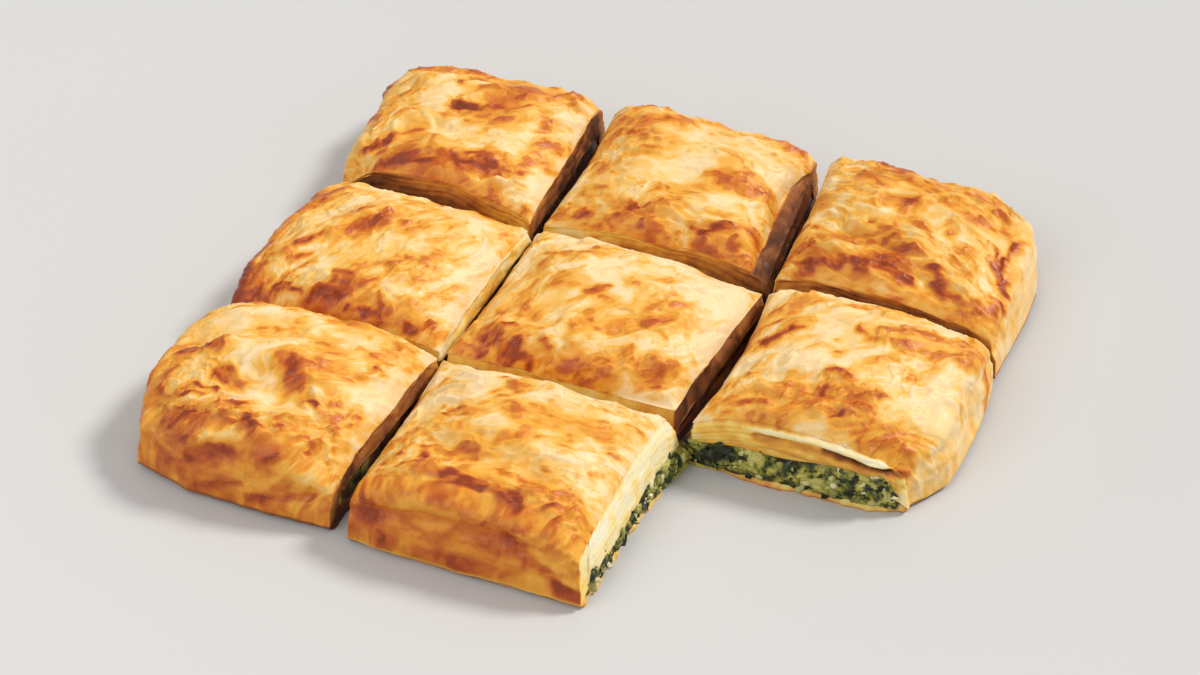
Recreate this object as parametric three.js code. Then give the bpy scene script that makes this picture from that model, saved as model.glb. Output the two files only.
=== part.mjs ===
// Spanakopita: a tray-baked spinach and cheese pie, cut three by three, with the front right slice taken out.
// Each of the eight slices is three closed solids: a puffed pastry lid that wraps down the pie's outer sides,
// a spinach filling that shows at the cuts, and a thin bottom crust.
// Millimetres. +X runs along the front edge, +Y from front to back and +Z up. The origin is under the middle
// of the pie, on the surface that it stands on.
import * as THREE from "three";

// ---------------------------------------------------------------- driving dimensions
const PIE_WIDTH = 274; // outer size along X, before the outer sides' own bulges
const PIE_DEPTH = 253; // outer size along Y
const TOUCHING = 0.3; // clearance between pieces that lie on each other

const CRUST_BOTTOM = 4.6; // thickness of the bottom crust
const FILLING_TOP = 17.2; // height of the filling's top at a cut
const CORNER_TOP = 21.5; // height of the lid at the corner of a slice
const DOME = 13.5; // rise of the lid from a corner to the middle of the slice
const DOME_POWER = 3; // how flat the dome is in the middle
const RIM_RISE = 6.8; // rise of the lid's edge from a corner to the middle of a side

const WALL = 8.5; // thickness of the lid's wall down an outer side
const WALL_SLOPE = 1.2; // how much thinner that wall is at its foot
const WALL_CLEARANCE = 1.6; // clearance between the filling's end and that wall
const FILLING_TAPER = 5; // width over which the filling thins towards that wall
const FILLING_END = 7; // thickness of the filling where it meets the wall
const CORNER_REACH = 28; // how far along the sides the rounding of a pie corner is felt
const BOTTOM_TUCK = 1.6; // how far the bottom crust's underside is drawn in
const SINK_REACH = 18; // width over which lid and filling sink towards an open cut
const LID_SPREAD = 0.5; // share of an open cut's spread that the lid's lower edge takes

const LAYER_RELIEF = 0.85; // how far the lid's flaky layers step in and out at a cut
const SIDE_WAVE = 1.0; // waviness of the pie's outer sides
const TOP_WAVE = 0.9; // waviness of the lid's top

const INNER_CELLS = 7; // cells along a slice's side between lid and filling: the lid's top has twice as many

// How much of that inset each outer side takes: the lid's shoulder is wide in front and tight at the back.
const SHOULDER = { front: 1, right: 0.8, back: 0.85, left: 0.75 };

// The lid's side from its lower edge to its top: share of the height, how far an outer side is drawn in, and
// how evenly the points along it are spread.
const LID_RINGS = [
  { rise: 0.3, inset: 0.4, even: 0 },
  { rise: 0.56, inset: 2.2, even: 0.2 },
  { rise: 0.82, inset: 3.6, even: 0.4 },
  { rise: 1.0, inset: 9.0, even: 0.6 },
];

// The filling's side from its floor up: share of the height, how far it bulges, and its shares of an open
// cut's spread and of a spill.
const FILLING_RINGS = [
  { rise: 0, relief: 0.3, spread: 0.7, spilt: 0.6 },
  { rise: 0.38, relief: 0.8, spread: 0.95, spilt: 1 },
  { rise: 0.75, relief: 0.8, spread: 0.85, spilt: 1 },
];

// The bottom crust's side from its underside to its top: share of the height, how far an outer side is drawn
// in, and its share of an open cut's spread: there it thins to a torn edge.
const BOTTOM_RINGS = [
  { rise: 0, inset: BOTTOM_TUCK, spread: 0.9 },
  { rise: 0.4, inset: 0, spread: 1.1 },
  { rise: 1, inset: 0, spread: 0.4 },
];

const LEFT = -PIE_WIDTH / 2;
const RIGHT = PIE_WIDTH / 2;
const FRONT = -PIE_DEPTH / 2;
const BACK = PIE_DEPTH / 2;

// ---------------------------------------------------------------- the slices
// Corners of each slice in plan, from the front left one anticlockwise: the cuts aren't quite straight or
// equally wide. lift raises or lowers the lid at those corners. rims gives the rise of the lid's edge along a
// side where it isn't RIM_RISE. outer gives the sides on the pie's own edge, with the bulge of each, and
// rounded the inward pull of the slice's pie corner. shrunk is how far a cut side has drawn back in its
// middle. open is a cut that the missing slice has bared: filling and bottom crust spread out of it, from
// near to far where it meets the next slice, and lid and filling sink there by sunkNear to sunkFar. spill is a
// spot where filling and bottom crust are pushed a little along X.
// A fold is a ridge in the lid along a line: from, to, half width and height; a negative height is a crease.
const SLICES = [
  {
    name: "back_left",
    corners: [[LEFT + 4, 45], [-51, 44.8], [-54.5, BACK + 1], [LEFT - 1, BACK]],
    lift: [0, 0, 5.5, 5],
    rims: { front: 7.5, right: 4 },
    outer: { back: 0, left: 2 },
    rounded: 3,
    folds: [
      [-124, 48, -103, 71, 6, -2.2],
      [-112, 54, -98, 57, 7, 2.4],
      [-92, 58, -72, 66, 7, 2.2],
      [-118, 100, -78, 108, 7, 1.4],
    ],
  },
  {
    name: "back_centre",
    corners: [[-46, 47], [45.2, 46.5], [36, BACK], [-47.5, BACK + 1]],
    lift: [0, 1.5, 2.5, 4.5],
    rims: { front: 3.2, right: -1, left: 0.8 },
    outer: { back: 0.5 },
    shrunk: { left: 1.5 },
    folds: [
      [-30, 99, -14, 97, 7, 1.6],
      [14, 50, 36, 58, 8, 2.4],
      [-18, 50, -4, 54, 7, 2.0],
      [-8, 84, 28, 74, 7, -1.4],
      [-32, 117, -8, 117, 8, 1.4],
    ],
  },
  {
    name: "back_right",
    corners: [[47.8, 47], [RIGHT - 2, 43.4], [RIGHT - 3, BACK], [43, BACK + 0.5]],
    lift: [1.5, 0, 2, 5],
    outer: { right: 0, back: 0 },
    rounded: 6.5,
    shrunk: { left: 2 },
    folds: [
      [52, 88, 94, 71, 7, 2.2],
      [94, 71, 128, 46, 7, 2.0],
      [66, 72, 112, 50, 7, -1.6],
      [118, 94, 128, 64, 7, -1.8],
    ],
  },
  {
    name: "middle_left",
    corners: [[LEFT + 1, -42.5], [-49.8, -40], [-49.8, 40.4], [LEFT + 5, 42]],
    lift: [0, 0, 0, 0],
    rims: { front: 3.5, right: 3.6, back: 2 },
    outer: { left: 2.5 },
    shrunk: { back: 1.5 },
    folds: [
      [-122, -20, -93, 10, 7, 2.2],
      [-120, -40, -108, -14, 6, -2.0],
      [-110, -38, -72, -18, 7, 2.4],
      [-96, 4, -64, 22, 7, 1.6],
    ],
  },
  {
    name: "middle_centre",
    corners: [[-47, -39], [40.8, -36.6], [45.6, 39], [-46.4, 41.2]],
    lift: [0, -2.5, -2, 0],
    rims: { front: -1.5, right: 0.8, back: 0.8, left: 0.8 },
    outer: {},
    shrunk: { left: 2 },
    folds: [
      [-2, -30, 16, -31, 8, 2.6],
      [-32, -30, -16, -35, 8, 2.4],
      [30, -24, 38, -22, 7, 2.0],
      [4, -24, 13, -12, 6, -1.8],
      [-20, 2, 22, 8, 8, 1.6],
    ],
  },
  {
    name: "middle_right",
    corners: [[49.4, -41.6], [RIGHT - 2, -39.4], [RIGHT, 40.6], [48, 39]],
    lift: [0, -2, 0, 0],
    rims: { back: 5, left: 2.5 },
    outer: { right: 1.5 },
    shrunk: { left: 4.5 },
    open: { side: "front", near: 3.8, far: 0, sunkNear: 0, sunkFar: 6 },
    spill: { x: 50, y: -41, reach: 18, push: -3.2 },
    folds: [
      [58, 2, 74, 8, 7, 2.0],
      [84, -12, 114, -24, 8, 2.2],
      [88, 16, 118, 10, 8, 1.8],
      [120, 4, 128, -22, 6, -1.6],
    ],
  },
  {
    name: "front_left",
    corners: [[LEFT, FRONT + 1], [-53, FRONT + 1], [-49.2, -43.2], [LEFT + 3, -45.4]],
    lift: [0, -3, 0, 1],
    rims: { right: 1.5, back: 5 },
    outer: { front: 0, left: 4 },
    rounded: 6,
    folds: [
      [-112, -84, -64, -90, 8, 3.2],
      [-128, -80, -104, -74, 7, -2.4],
      [-122, -102, -88, -99, 7, -2.6],
      [-116, -114, -74, -115, 7, 1.6],
    ],
  },
  {
    name: "front_centre",
    corners: [[-45, FRONT - 1], [41, FRONT - 1.5], [40.4, -43.6], [-46.6, -43.4]],
    lift: [0, 0, 0, 0],
    rims: { right: 5, back: -1.5, left: -1 },
    outer: { front: 0 },
    shrunk: { left: 2.5, back: 2.5 },
    open: { side: "right", near: 5, far: 9, sunkNear: 6.5, sunkFar: 7.5 },
    folds: [
      [-38, -115, 34, -117, 6, 2.2],
      [-22, -103, 14, -105, 6, -2.6],
      [-16, -90, 24, -94, 8, 2.0],
      [-30, -62, 10, -60, 8, 1.6],
    ],
  },
];

const OUTWARD = { front: [0, -1], right: [1, 0], back: [0, 1], left: [-1, 0] };
const SIDES = Object.keys(OUTWARD);

// ---------------------------------------------------------------- seeded unevenness
// A number from 0 to 1 that belongs to a grid point.
function chance(i, j, seed) {
  const s = Math.sin(i * 127.1 + j * 311.7 + seed * 74.7) * 43758.5453;
  return s - Math.floor(s);
}

// Smooth noise from -1 to 1 with bumps about one unit across.
function noise(x, y, seed) {
  const i = Math.floor(x);
  const j = Math.floor(y);
  const fx = THREE.MathUtils.smoothstep(x - i, 0, 1);
  const fy = THREE.MathUtils.smoothstep(y - j, 0, 1);
  const low = THREE.MathUtils.lerp(chance(i, j, seed), chance(i + 1, j, seed), fx);
  const high = THREE.MathUtils.lerp(chance(i, j + 1, seed), chance(i + 1, j + 1, seed), fx);
  return 2 * THREE.MathUtils.lerp(low, high, fy) - 1;
}

// ---------------------------------------------------------------- a slice's plan and heights
const isOuter = (slice, side) => side in slice.outer;

// Width and depth of a slice, for turning millimetres into shares of a side.
function sizeOf(slice) {
  const [fl, fr, br, bl] = slice.corners;
  return { width: (fr[0] - fl[0] + br[0] - bl[0]) / 2, depth: (bl[1] - fl[1] + br[1] - fr[1]) / 2 };
}

// How far an open cut spreads at shares u and v of a slice.
function spreadAt(slice, u, v) {
  const { side, near, far } = slice.open;
  const [towardsNext, nearness] = side === "right" ? [v, u] : [1 - u, 1 - v];
  return THREE.MathUtils.lerp(near, far, towardsNext ** 4) * nearness ** 6;
}

// The plan point at shares u and v of a slice, with its outer sides drawn in by inset and an open cut moved
// out by a share of its spread. Outer sides bulge between the cuts and wave a little, shrunk cut sides are
// hollow, and the pie's own corners are rounded.
function planPoint(slice, u, v, inset, spread = 0) {
  const drawn = (side) => (isOuter(slice, side) ? inset * SHOULDER[side] : 0);
  const [fl, fr, br, bl] = slice.corners;
  const left = [fl[0] + drawn("left"), bl[0] + drawn("left")];
  const right = [fr[0] - drawn("right"), br[0] - drawn("right")];
  const front = [fl[1] + drawn("front"), fr[1] + drawn("front")];
  const back = [bl[1] - drawn("back"), br[1] - drawn("back")];
  const { lerp } = THREE.MathUtils;
  const point = new THREE.Vector2(
    lerp(lerp(left[0], left[1], v), lerp(right[0], right[1], v), u),
    lerp(lerp(front[0], front[1], u), lerp(back[0], back[1], u), v),
  );

  const nearness = { left: 1 - u, right: u, front: 1 - v, back: v };
  for (const [side, bulge] of Object.entries(slice.outer)) {
    const [outX, outY] = OUTWARD[side];
    const along = outX ? v : u;
    const swell = bulge * (1 - Math.abs(2 * along - 1) ** 3) * nearness[side] ** 2;
    const wave = SIDE_WAVE * nearness[side] ** 4 * noise(point.x / 26, point.y / 26, 3);
    point.x += outX * (swell + wave);
    point.y += outY * (swell + wave);
  }
  for (const [side, depth] of Object.entries(slice.shrunk ?? {})) {
    const [outX, outY] = OUTWARD[side];
    const hollow = depth * (1 - (2 * (outX ? v : u) - 1) ** 2) * nearness[side] ** 2;
    point.x -= outX * hollow;
    point.y -= outY * hollow;
  }
  if (slice.open) {
    const [outX, outY] = OUTWARD[slice.open.side];
    point.x += outX * spread * spreadAt(slice, u, v);
    point.y += outY * spread * spreadAt(slice, u, v);
  }
  if (slice.rounded) {
    const corner = slice.corners.reduce((a, b) => (Math.hypot(...a) > Math.hypot(...b) ? a : b));
    const near = Math.max(0, 1 - Math.hypot(point.x - corner[0], point.y - corner[1]) / CORNER_REACH);
    point.x -= Math.sign(corner[0]) * slice.rounded * near;
    point.y -= Math.sign(corner[1]) * slice.rounded * near;
  }
  return point;
}

// Distance from a plan point to the line from (x1, y1) to (x2, y2).
function distanceToLine(point, x1, y1, x2, y2) {
  const along = new THREE.Vector2(x2 - x1, y2 - y1);
  const offset = new THREE.Vector2(point.x - x1, point.y - y1);
  const share = THREE.MathUtils.clamp(offset.dot(along) / along.lengthSq(), 0, 1);
  return offset.addScaledVector(along, -share).length();
}

// Height of the lid's top: a dome that falls to each side's own edge, raised corners, folds and a slight
// waviness.
function lidTop(slice, u, v, point) {
  const across = Math.abs(2 * u - 1) ** DOME_POWER;
  const deep = Math.abs(2 * v - 1) ** DOME_POWER;
  const [fl, fr, br, bl] = slice.lift;
  const lift = v < 0.5 ? (u < 0.5 ? fl : fr) : u < 0.5 ? bl : br;
  const riseOf = (side) => slice.rims?.[side] ?? RIM_RISE;
  let height = CORNER_TOP + DOME * (1 - across) * (1 - deep) + lift * Math.sqrt(across * deep);
  height += riseOf(u < 0.5 ? "left" : "right") * across * (1 - deep);
  height += riseOf(v < 0.5 ? "front" : "back") * deep * (1 - across);
  for (const [x1, y1, x2, y2, halfWidth, rise] of slice.folds) {
    height += rise * Math.exp(-((distanceToLine(point, x1, y1, x2, y2) / halfWidth) ** 2));
  }
  return height + TOP_WAVE * noise(point.x / 17, point.y / 11, 5);
}

// How far lid and filling sink towards an open cut.
function sinkAt(slice, u, v) {
  if (!slice.open) return 0;
  const { width, depth } = sizeOf(slice);
  const { side, sunkNear, sunkFar } = slice.open;
  const [towardsNext, distance] = side === "right" ? [v, (1 - u) * width] : [1 - u, v * depth];
  const { lerp, smoothstep } = THREE.MathUtils;
  return lerp(sunkNear, sunkFar, towardsNext ** 1.5) * (1 - smoothstep(distance, 0, SINK_REACH));
}

// Height of the filling's top. It thins to FILLING_END towards the lid's wall at an outer side.
function fillingTop(slice, u, v) {
  const { width, depth } = sizeOf(slice);
  const fromEdge = { left: u * width, right: (1 - u) * width, front: v * depth, back: (1 - v) * depth };
  let full = 1;
  for (const side of Object.keys(slice.outer)) {
    const reach = (fromEdge[side] - WALL) / FILLING_TAPER;
    full = Math.min(full, THREE.MathUtils.clamp(reach, 0, 1));
  }
  const wave = 1.1 * noise(u * 5, v * 5, slice.seed) * full;
  const thin = CRUST_BOTTOM + TOUCHING + FILLING_END;
  return THREE.MathUtils.lerp(thin, FILLING_TOP - sinkAt(slice, u, v), full) + wave;
}

// ---------------------------------------------------------------- closed shells from rings and grids
// Rings run anticlockwise as seen from above, and are joined from the bottom up.
class Shell {
  constructor() {
    this.points = [];
    this.triangles = [];
  }

  add(x, y, z) {
    this.points.push(x, y, z);
    return this.points.length / 3 - 1;
  }

  // The side between two rings of as many points.
  joinRings(lower, upper) {
    lower.forEach((a, i) => {
      const next = (i + 1) % lower.length;
      this.triangles.push(a, lower[next], upper[next], a, upper[next], upper[i]);
    });
  }

  // The side between a ring and one with twice as many points.
  joinToFiner(coarse, fine, coarseIsLower) {
    coarse.forEach((a, i) => {
      const b = coarse[(i + 1) % coarse.length];
      const [f0, f1, f2] = [fine[2 * i], fine[2 * i + 1], fine[(2 * i + 2) % fine.length]];
      const faces = coarseIsLower
        ? [a, f1, f0, a, b, f1, b, f2, f1]
        : [a, f0, f1, a, f1, b, b, f1, f2];
      this.triangles.push(...faces);
    });
  }

  // A flat end over a ring, facing down or up.
  closeFlat(ring, facesUp) {
    const outline = ring.map((i) => new THREE.Vector2(this.points[3 * i], this.points[3 * i + 1]));
    for (const [a, b, c] of THREE.ShapeUtils.triangulateShape(outline, [])) {
      this.triangles.push(...(facesUp ? [ring[a], ring[b], ring[c]] : [ring[a], ring[c], ring[b]]));
    }
  }

  // A grid over shares uLines by vLines of a slice. Returns its outline as a ring.
  grid(uLines, vLines, pointAt, facesUp) {
    const index = vLines.map((v) => uLines.map((u) => this.add(...pointAt(u, v))));
    for (let j = 0; j + 1 < vLines.length; j++) {
      for (let i = 0; i + 1 < uLines.length; i++) {
        const [a, b, c, d] = [index[j][i], index[j][i + 1], index[j + 1][i + 1], index[j + 1][i]];
        this.triangles.push(...(facesUp ? [a, b, c, a, c, d] : [a, c, b, a, d, c]));
      }
    }
    const lastU = uLines.length - 1;
    const lastV = vLines.length - 1;
    return [
      ...index[0].slice(0, lastU),
      ...index.slice(0, lastV).map((row) => row[lastU]),
      ...index[lastV].slice(1).reverse(),
      ...index.slice(1).reverse().map((row) => row[0]),
    ];
  }

  geometry() {
    const made = new THREE.BufferGeometry();
    made.setAttribute("position", new THREE.Float32BufferAttribute(this.points, 3));
    made.setIndex(this.triangles);
    made.computeVertexNormals();
    return made;
  }
}

const evenLines = (cells) => Array.from({ length: cells + 1 }, (_, i) => i / cells);

// Grid lines between lid and filling along one direction. At an outer side three of the cells become the
// filling's taper, the clearance beside the wall, and the wall's foot.
function innerLines(length, lowIsOuter, highIsOuter) {
  const foot = (WALL - WALL_SLOPE) / length;
  const clear = WALL / length;
  const taper = (WALL + FILLING_TAPER) / length;
  const start = lowIsOuter ? [0, foot, clear] : [];
  const end = highIsOuter ? [1 - clear, 1 - foot, 1] : [];
  const from = lowIsOuter ? taper : 0;
  const to = highIsOuter ? 1 - taper : 1;
  const cells = INNER_CELLS - start.length - end.length;
  return [...start, ...evenLines(cells).map((share) => from + (to - from) * share), ...end];
}

// Points round a slice's edge: each with its shares u and v and its side.
function edgePoints(uLines, vLines) {
  const uMid = uLines.slice(0, -1);
  const vMid = vLines.slice(0, -1);
  const uBack = uLines.slice(1).reverse();
  const vBack = vLines.slice(1).reverse();
  return [
    ...uMid.map((u) => ({ u, v: vLines[0], side: "front" })),
    ...vMid.map((v) => ({ u: uLines.at(-1), v, side: "right" })),
    ...uBack.map((u) => ({ u, v: vLines.at(-1), side: "back" })),
    ...vBack.map((v) => ({ u: uLines[0], v, side: "left" })),
  ];
}

// Lines with a midpoint added in every cell.
const finer = (lines) => lines.flatMap((a, i) => (i + 1 < lines.length ? [a, (a + lines[i + 1]) / 2] : [a]));

// Twice as many lines as between lid and filling, moved by a share towards even spacing.
const lidLines = (lines, share) =>
  finer(lines).map((line, i) => THREE.MathUtils.lerp(line, i / (2 * INNER_CELLS), share));

// The push of the slice's spill at a plan point.
function spillAt(slice, point) {
  if (!slice.spill) return 0;
  const { x, y, reach, push } = slice.spill;
  return push * Math.max(0, 1 - Math.hypot(point.x - x, point.y - y) / reach);
}

// A ring round a slice's edge. at gives height, inset of the outer sides, outward step, and shares of an open
// cut's spread and of the spill at an edge point.
function ringAt(shell, slice, edge, at) {
  return edge.map((p) => {
    const { z, inset, step, spread, spilt } = at(p);
    const point = planPoint(slice, p.u, p.v, inset, spread);
    const [outX, outY] = OUTWARD[p.side];
    return shell.add(point.x + step * outX + spilt * spillAt(slice, point), point.y + step * outY, z);
  });
}

// ---------------------------------------------------------------- the three pieces of a slice
function innerGrid(slice) {
  const { width, depth } = sizeOf(slice);
  return {
    u: innerLines(width, isOuter(slice, "left"), isOuter(slice, "right")),
    v: innerLines(depth, isOuter(slice, "front"), isOuter(slice, "back")),
  };
}

// How far a point lies into the foot of an outer wall, where no filling is above the bottom crust.
function underWall(slice, u, v) {
  const { width, depth } = sizeOf(slice);
  const fromEdge = { left: u * width, right: (1 - u) * width, front: v * depth, back: (1 - v) * depth };
  return Object.keys(slice.outer).some((side) => fromEdge[side] < WALL - WALL_SLOPE / 2);
}

// Height of the lid's underside: on the filling, or on the bottom crust under an outer wall.
function lidBottom(slice, u, v) {
  return (underWall(slice, u, v) ? CRUST_BOTTOM : fillingTop(slice, u, v)) + TOUCHING;
}

function lidGeometry(slice) {
  const shell = new Shell();
  const inner = innerGrid(slice);
  const underside = shell.grid(inner.u, inner.v, (u, v) => {
    const point = planPoint(slice, u, v, 0, LID_SPREAD);
    return [point.x, point.y, lidBottom(slice, u, v)];
  }, false);

  const crown = LID_RINGS.at(-1);
  let below = null;
  LID_RINGS.slice(0, -1).forEach((ring, level) => {
    const edge = edgePoints(lidLines(inner.u, ring.even), lidLines(inner.v, ring.even));
    const above = ringAt(shell, slice, edge, (p) => {
      const top = lidTop(slice, p.u, p.v, planPoint(slice, p.u, p.v, crown.inset));
      const low = lidBottom(slice, p.u, p.v);
      const flaky = noise((p.u + p.v) * 9, level * 7, slice.seed + SIDES.indexOf(p.side));
      return {
        z: low + ring.rise * (top - low),
        inset: ring.inset,
        step: isOuter(slice, p.side) ? 0.5 * flaky : LAYER_RELIEF * flaky,
        spread: LID_SPREAD * (1 - ring.rise),
        spilt: 0,
      };
    });
    if (below) shell.joinRings(below, above);
    else shell.joinToFiner(underside, above, true);
    below = above;
  });
  const top = shell.grid(lidLines(inner.u, crown.even), lidLines(inner.v, crown.even), (u, v) => {
    const point = planPoint(slice, u, v, crown.inset);
    return [point.x, point.y, lidTop(slice, u, v, point)];
  }, true);
  shell.joinRings(below, top);
  return shell.geometry();
}

// The cells of the inner grid that hold filling, which leave out the walls' feet.
function fillingLines(lines, lowIsOuter, highIsOuter) {
  return lines.slice(lowIsOuter ? 2 : 0, highIsOuter ? -2 : lines.length);
}

function fillingGeometry(slice) {
  const shell = new Shell();
  const inner = innerGrid(slice);
  const u = fillingLines(inner.u, isOuter(slice, "left"), isOuter(slice, "right"));
  const v = fillingLines(inner.v, isOuter(slice, "front"), isOuter(slice, "back"));
  const { width, depth } = sizeOf(slice);
  const clearOf = (side, length) => (isOuter(slice, side) ? WALL_CLEARANCE / length : 0);
  const { clamp } = THREE.MathUtils;
  const edge = edgePoints(finer(u), finer(v)).map((p) => ({
    side: p.side,
    u: clamp(p.u, u[0] + clearOf("left", width), u.at(-1) - clearOf("right", width)),
    v: clamp(p.v, v[0] + clearOf("front", depth), v.at(-1) - clearOf("back", depth)),
  }));
  const floor = CRUST_BOTTOM + TOUCHING;
  const rings = FILLING_RINGS.map(({ rise, relief, spread, spilt }, level) =>
    ringAt(shell, slice, edge, (p) => {
      const lumps = noise((p.u + p.v) * 13, level * 5, slice.seed + 40);
      return {
        z: floor + rise * (fillingTop(slice, p.u, p.v) - floor),
        inset: 0,
        step: isOuter(slice, p.side) ? 0 : relief * lumps,
        spread,
        spilt,
      };
    }),
  );
  shell.closeFlat(rings[0], false);
  shell.joinRings(rings[0], rings[1]);
  shell.joinRings(rings[1], rings[2]);
  const top = shell.grid(u, v, (pu, pv) => {
    const point = planPoint(slice, pu, pv, 0, LID_SPREAD);
    return [point.x, point.y, fillingTop(slice, pu, pv)];
  }, true);
  shell.joinToFiner(top, rings[2], false);
  return shell.geometry();
}

// How far the bottom crust's torn edge steps in and out at a side.
function tornBy(slice, side) {
  if (isOuter(slice, side)) return 0.3;
  return side === slice.open?.side ? 1.3 : 0.5;
}

function bottomGeometry(slice) {
  const shell = new Shell();
  const lines = evenLines(2 * INNER_CELLS);
  const edge = edgePoints(lines, lines);
  const rings = BOTTOM_RINGS.map(({ rise, inset, spread }, level) =>
    ringAt(shell, slice, edge, (p) => {
      const torn = noise((p.u + p.v) * 11, level, slice.seed + 80);
      return {
        z: rise * CRUST_BOTTOM,
        inset,
        step: tornBy(slice, p.side) * torn,
        spread,
        spilt: 1,
      };
    }),
  );
  shell.closeFlat(rings[0], false);
  shell.joinRings(rings[0], rings[1]);
  shell.joinRings(rings[1], rings[2]);
  shell.closeFlat(rings[2], true);
  return shell.geometry();
}

// ---------------------------------------------------------------- materials and the whole pie
const bakedPastry = new THREE.MeshStandardMaterial({ color: 0xe9a24a, roughness: 0.45, metalness: 0 });
const spinachFilling = new THREE.MeshStandardMaterial({ color: 0x5c6b32, roughness: 0.6, metalness: 0 });
const bottomPastry = new THREE.MeshStandardMaterial({ color: 0xe6c56c, roughness: 0.6, metalness: 0 });

function makeSlice(slice, number) {
  const seeded = { ...slice, seed: 11 + 3 * number };
  const group = new THREE.Group();
  const pieces = [
    ["lid", lidGeometry, bakedPastry],
    ["filling", fillingGeometry, spinachFilling],
    ["bottom", bottomGeometry, bottomPastry],
  ];
  for (const [piece, geometryOf, material] of pieces) {
    const mesh = new THREE.Mesh(geometryOf(seeded), material);
    mesh.name = `${piece}_${slice.name}`;
    group.add(mesh);
  }
  return group;
}

const pie = new THREE.Group();
SLICES.forEach((slice, number) => pie.add(makeSlice(slice, number)));

export default pie;
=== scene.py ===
"""Spanakopita: a tray-baked spinach and cheese pie cut three by three, with the front right slice taken out.

Each slice has a puffed pastry lid with a browned, blistered skin and flaky cut sides, a filling of chopped
spinach and crumbled cheese, and a thin bottom crust. Lengths in the tables are millimetres.
"""

import math

import bmesh
import bpy
import numpy as np
from mathutils import Matrix, Vector


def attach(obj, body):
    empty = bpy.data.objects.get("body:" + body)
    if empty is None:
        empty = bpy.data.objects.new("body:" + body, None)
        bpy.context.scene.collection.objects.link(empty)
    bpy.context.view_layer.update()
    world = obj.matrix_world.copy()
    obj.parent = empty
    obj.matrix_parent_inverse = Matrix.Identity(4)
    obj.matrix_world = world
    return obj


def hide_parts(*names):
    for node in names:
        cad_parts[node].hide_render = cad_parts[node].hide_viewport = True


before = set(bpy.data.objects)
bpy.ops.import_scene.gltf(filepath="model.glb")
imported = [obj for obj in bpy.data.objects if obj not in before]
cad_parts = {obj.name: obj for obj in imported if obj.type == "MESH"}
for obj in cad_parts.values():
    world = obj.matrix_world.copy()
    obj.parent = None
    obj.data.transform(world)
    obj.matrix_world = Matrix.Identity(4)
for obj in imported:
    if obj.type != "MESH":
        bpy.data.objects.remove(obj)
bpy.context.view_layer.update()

MM = 0.001
FAR = 99.0
ON_RIM = 1e-5
AT_END = 1e-4

# ---------------------------------------------------------------- named sizes of the pie
LEFT, RIGHT = -137.0, 137.0
FRONT, BACK = -126.5, 126.5
TOUCHING = 0.3
CRUST_BOTTOM = 4.6
FILLING_TOP = 17.2
CORNER_TOP = 21.5
DOME = 13.5
RIM_RISE = 6.8
WALL = 8.5
WALL_SLOPE = 3.0
FILLING_TAPER = 5.0
FILLING_END = 7.0
BOTTOM_TUCK = 1.6
SINK_REACH = 18.0
LID_SPREAD = 0.5
SHOULDER = {"front": 1.0, "right": 0.8, "back": 0.85, "left": 0.75}
OUTWARD = {"front": (0, -1), "right": (1, 0), "back": (0, 1), "left": (-1, 0)}

# How far an outer side of a lid is drawn in at each share of its height, and on top.
TOP_INSET = 9.0
SHOULDER_CURVE = (
    (0.0, 0.1), (0.08, 0.0), (0.28, 0.3), (0.46, 1.3), (0.56, 2.4), (0.62, 2.7), (0.72, 2.6),
    (0.82, 3.3), (0.9, 5.0), (0.96, 7.0), (1.0, TOP_INSET),
)

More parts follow.
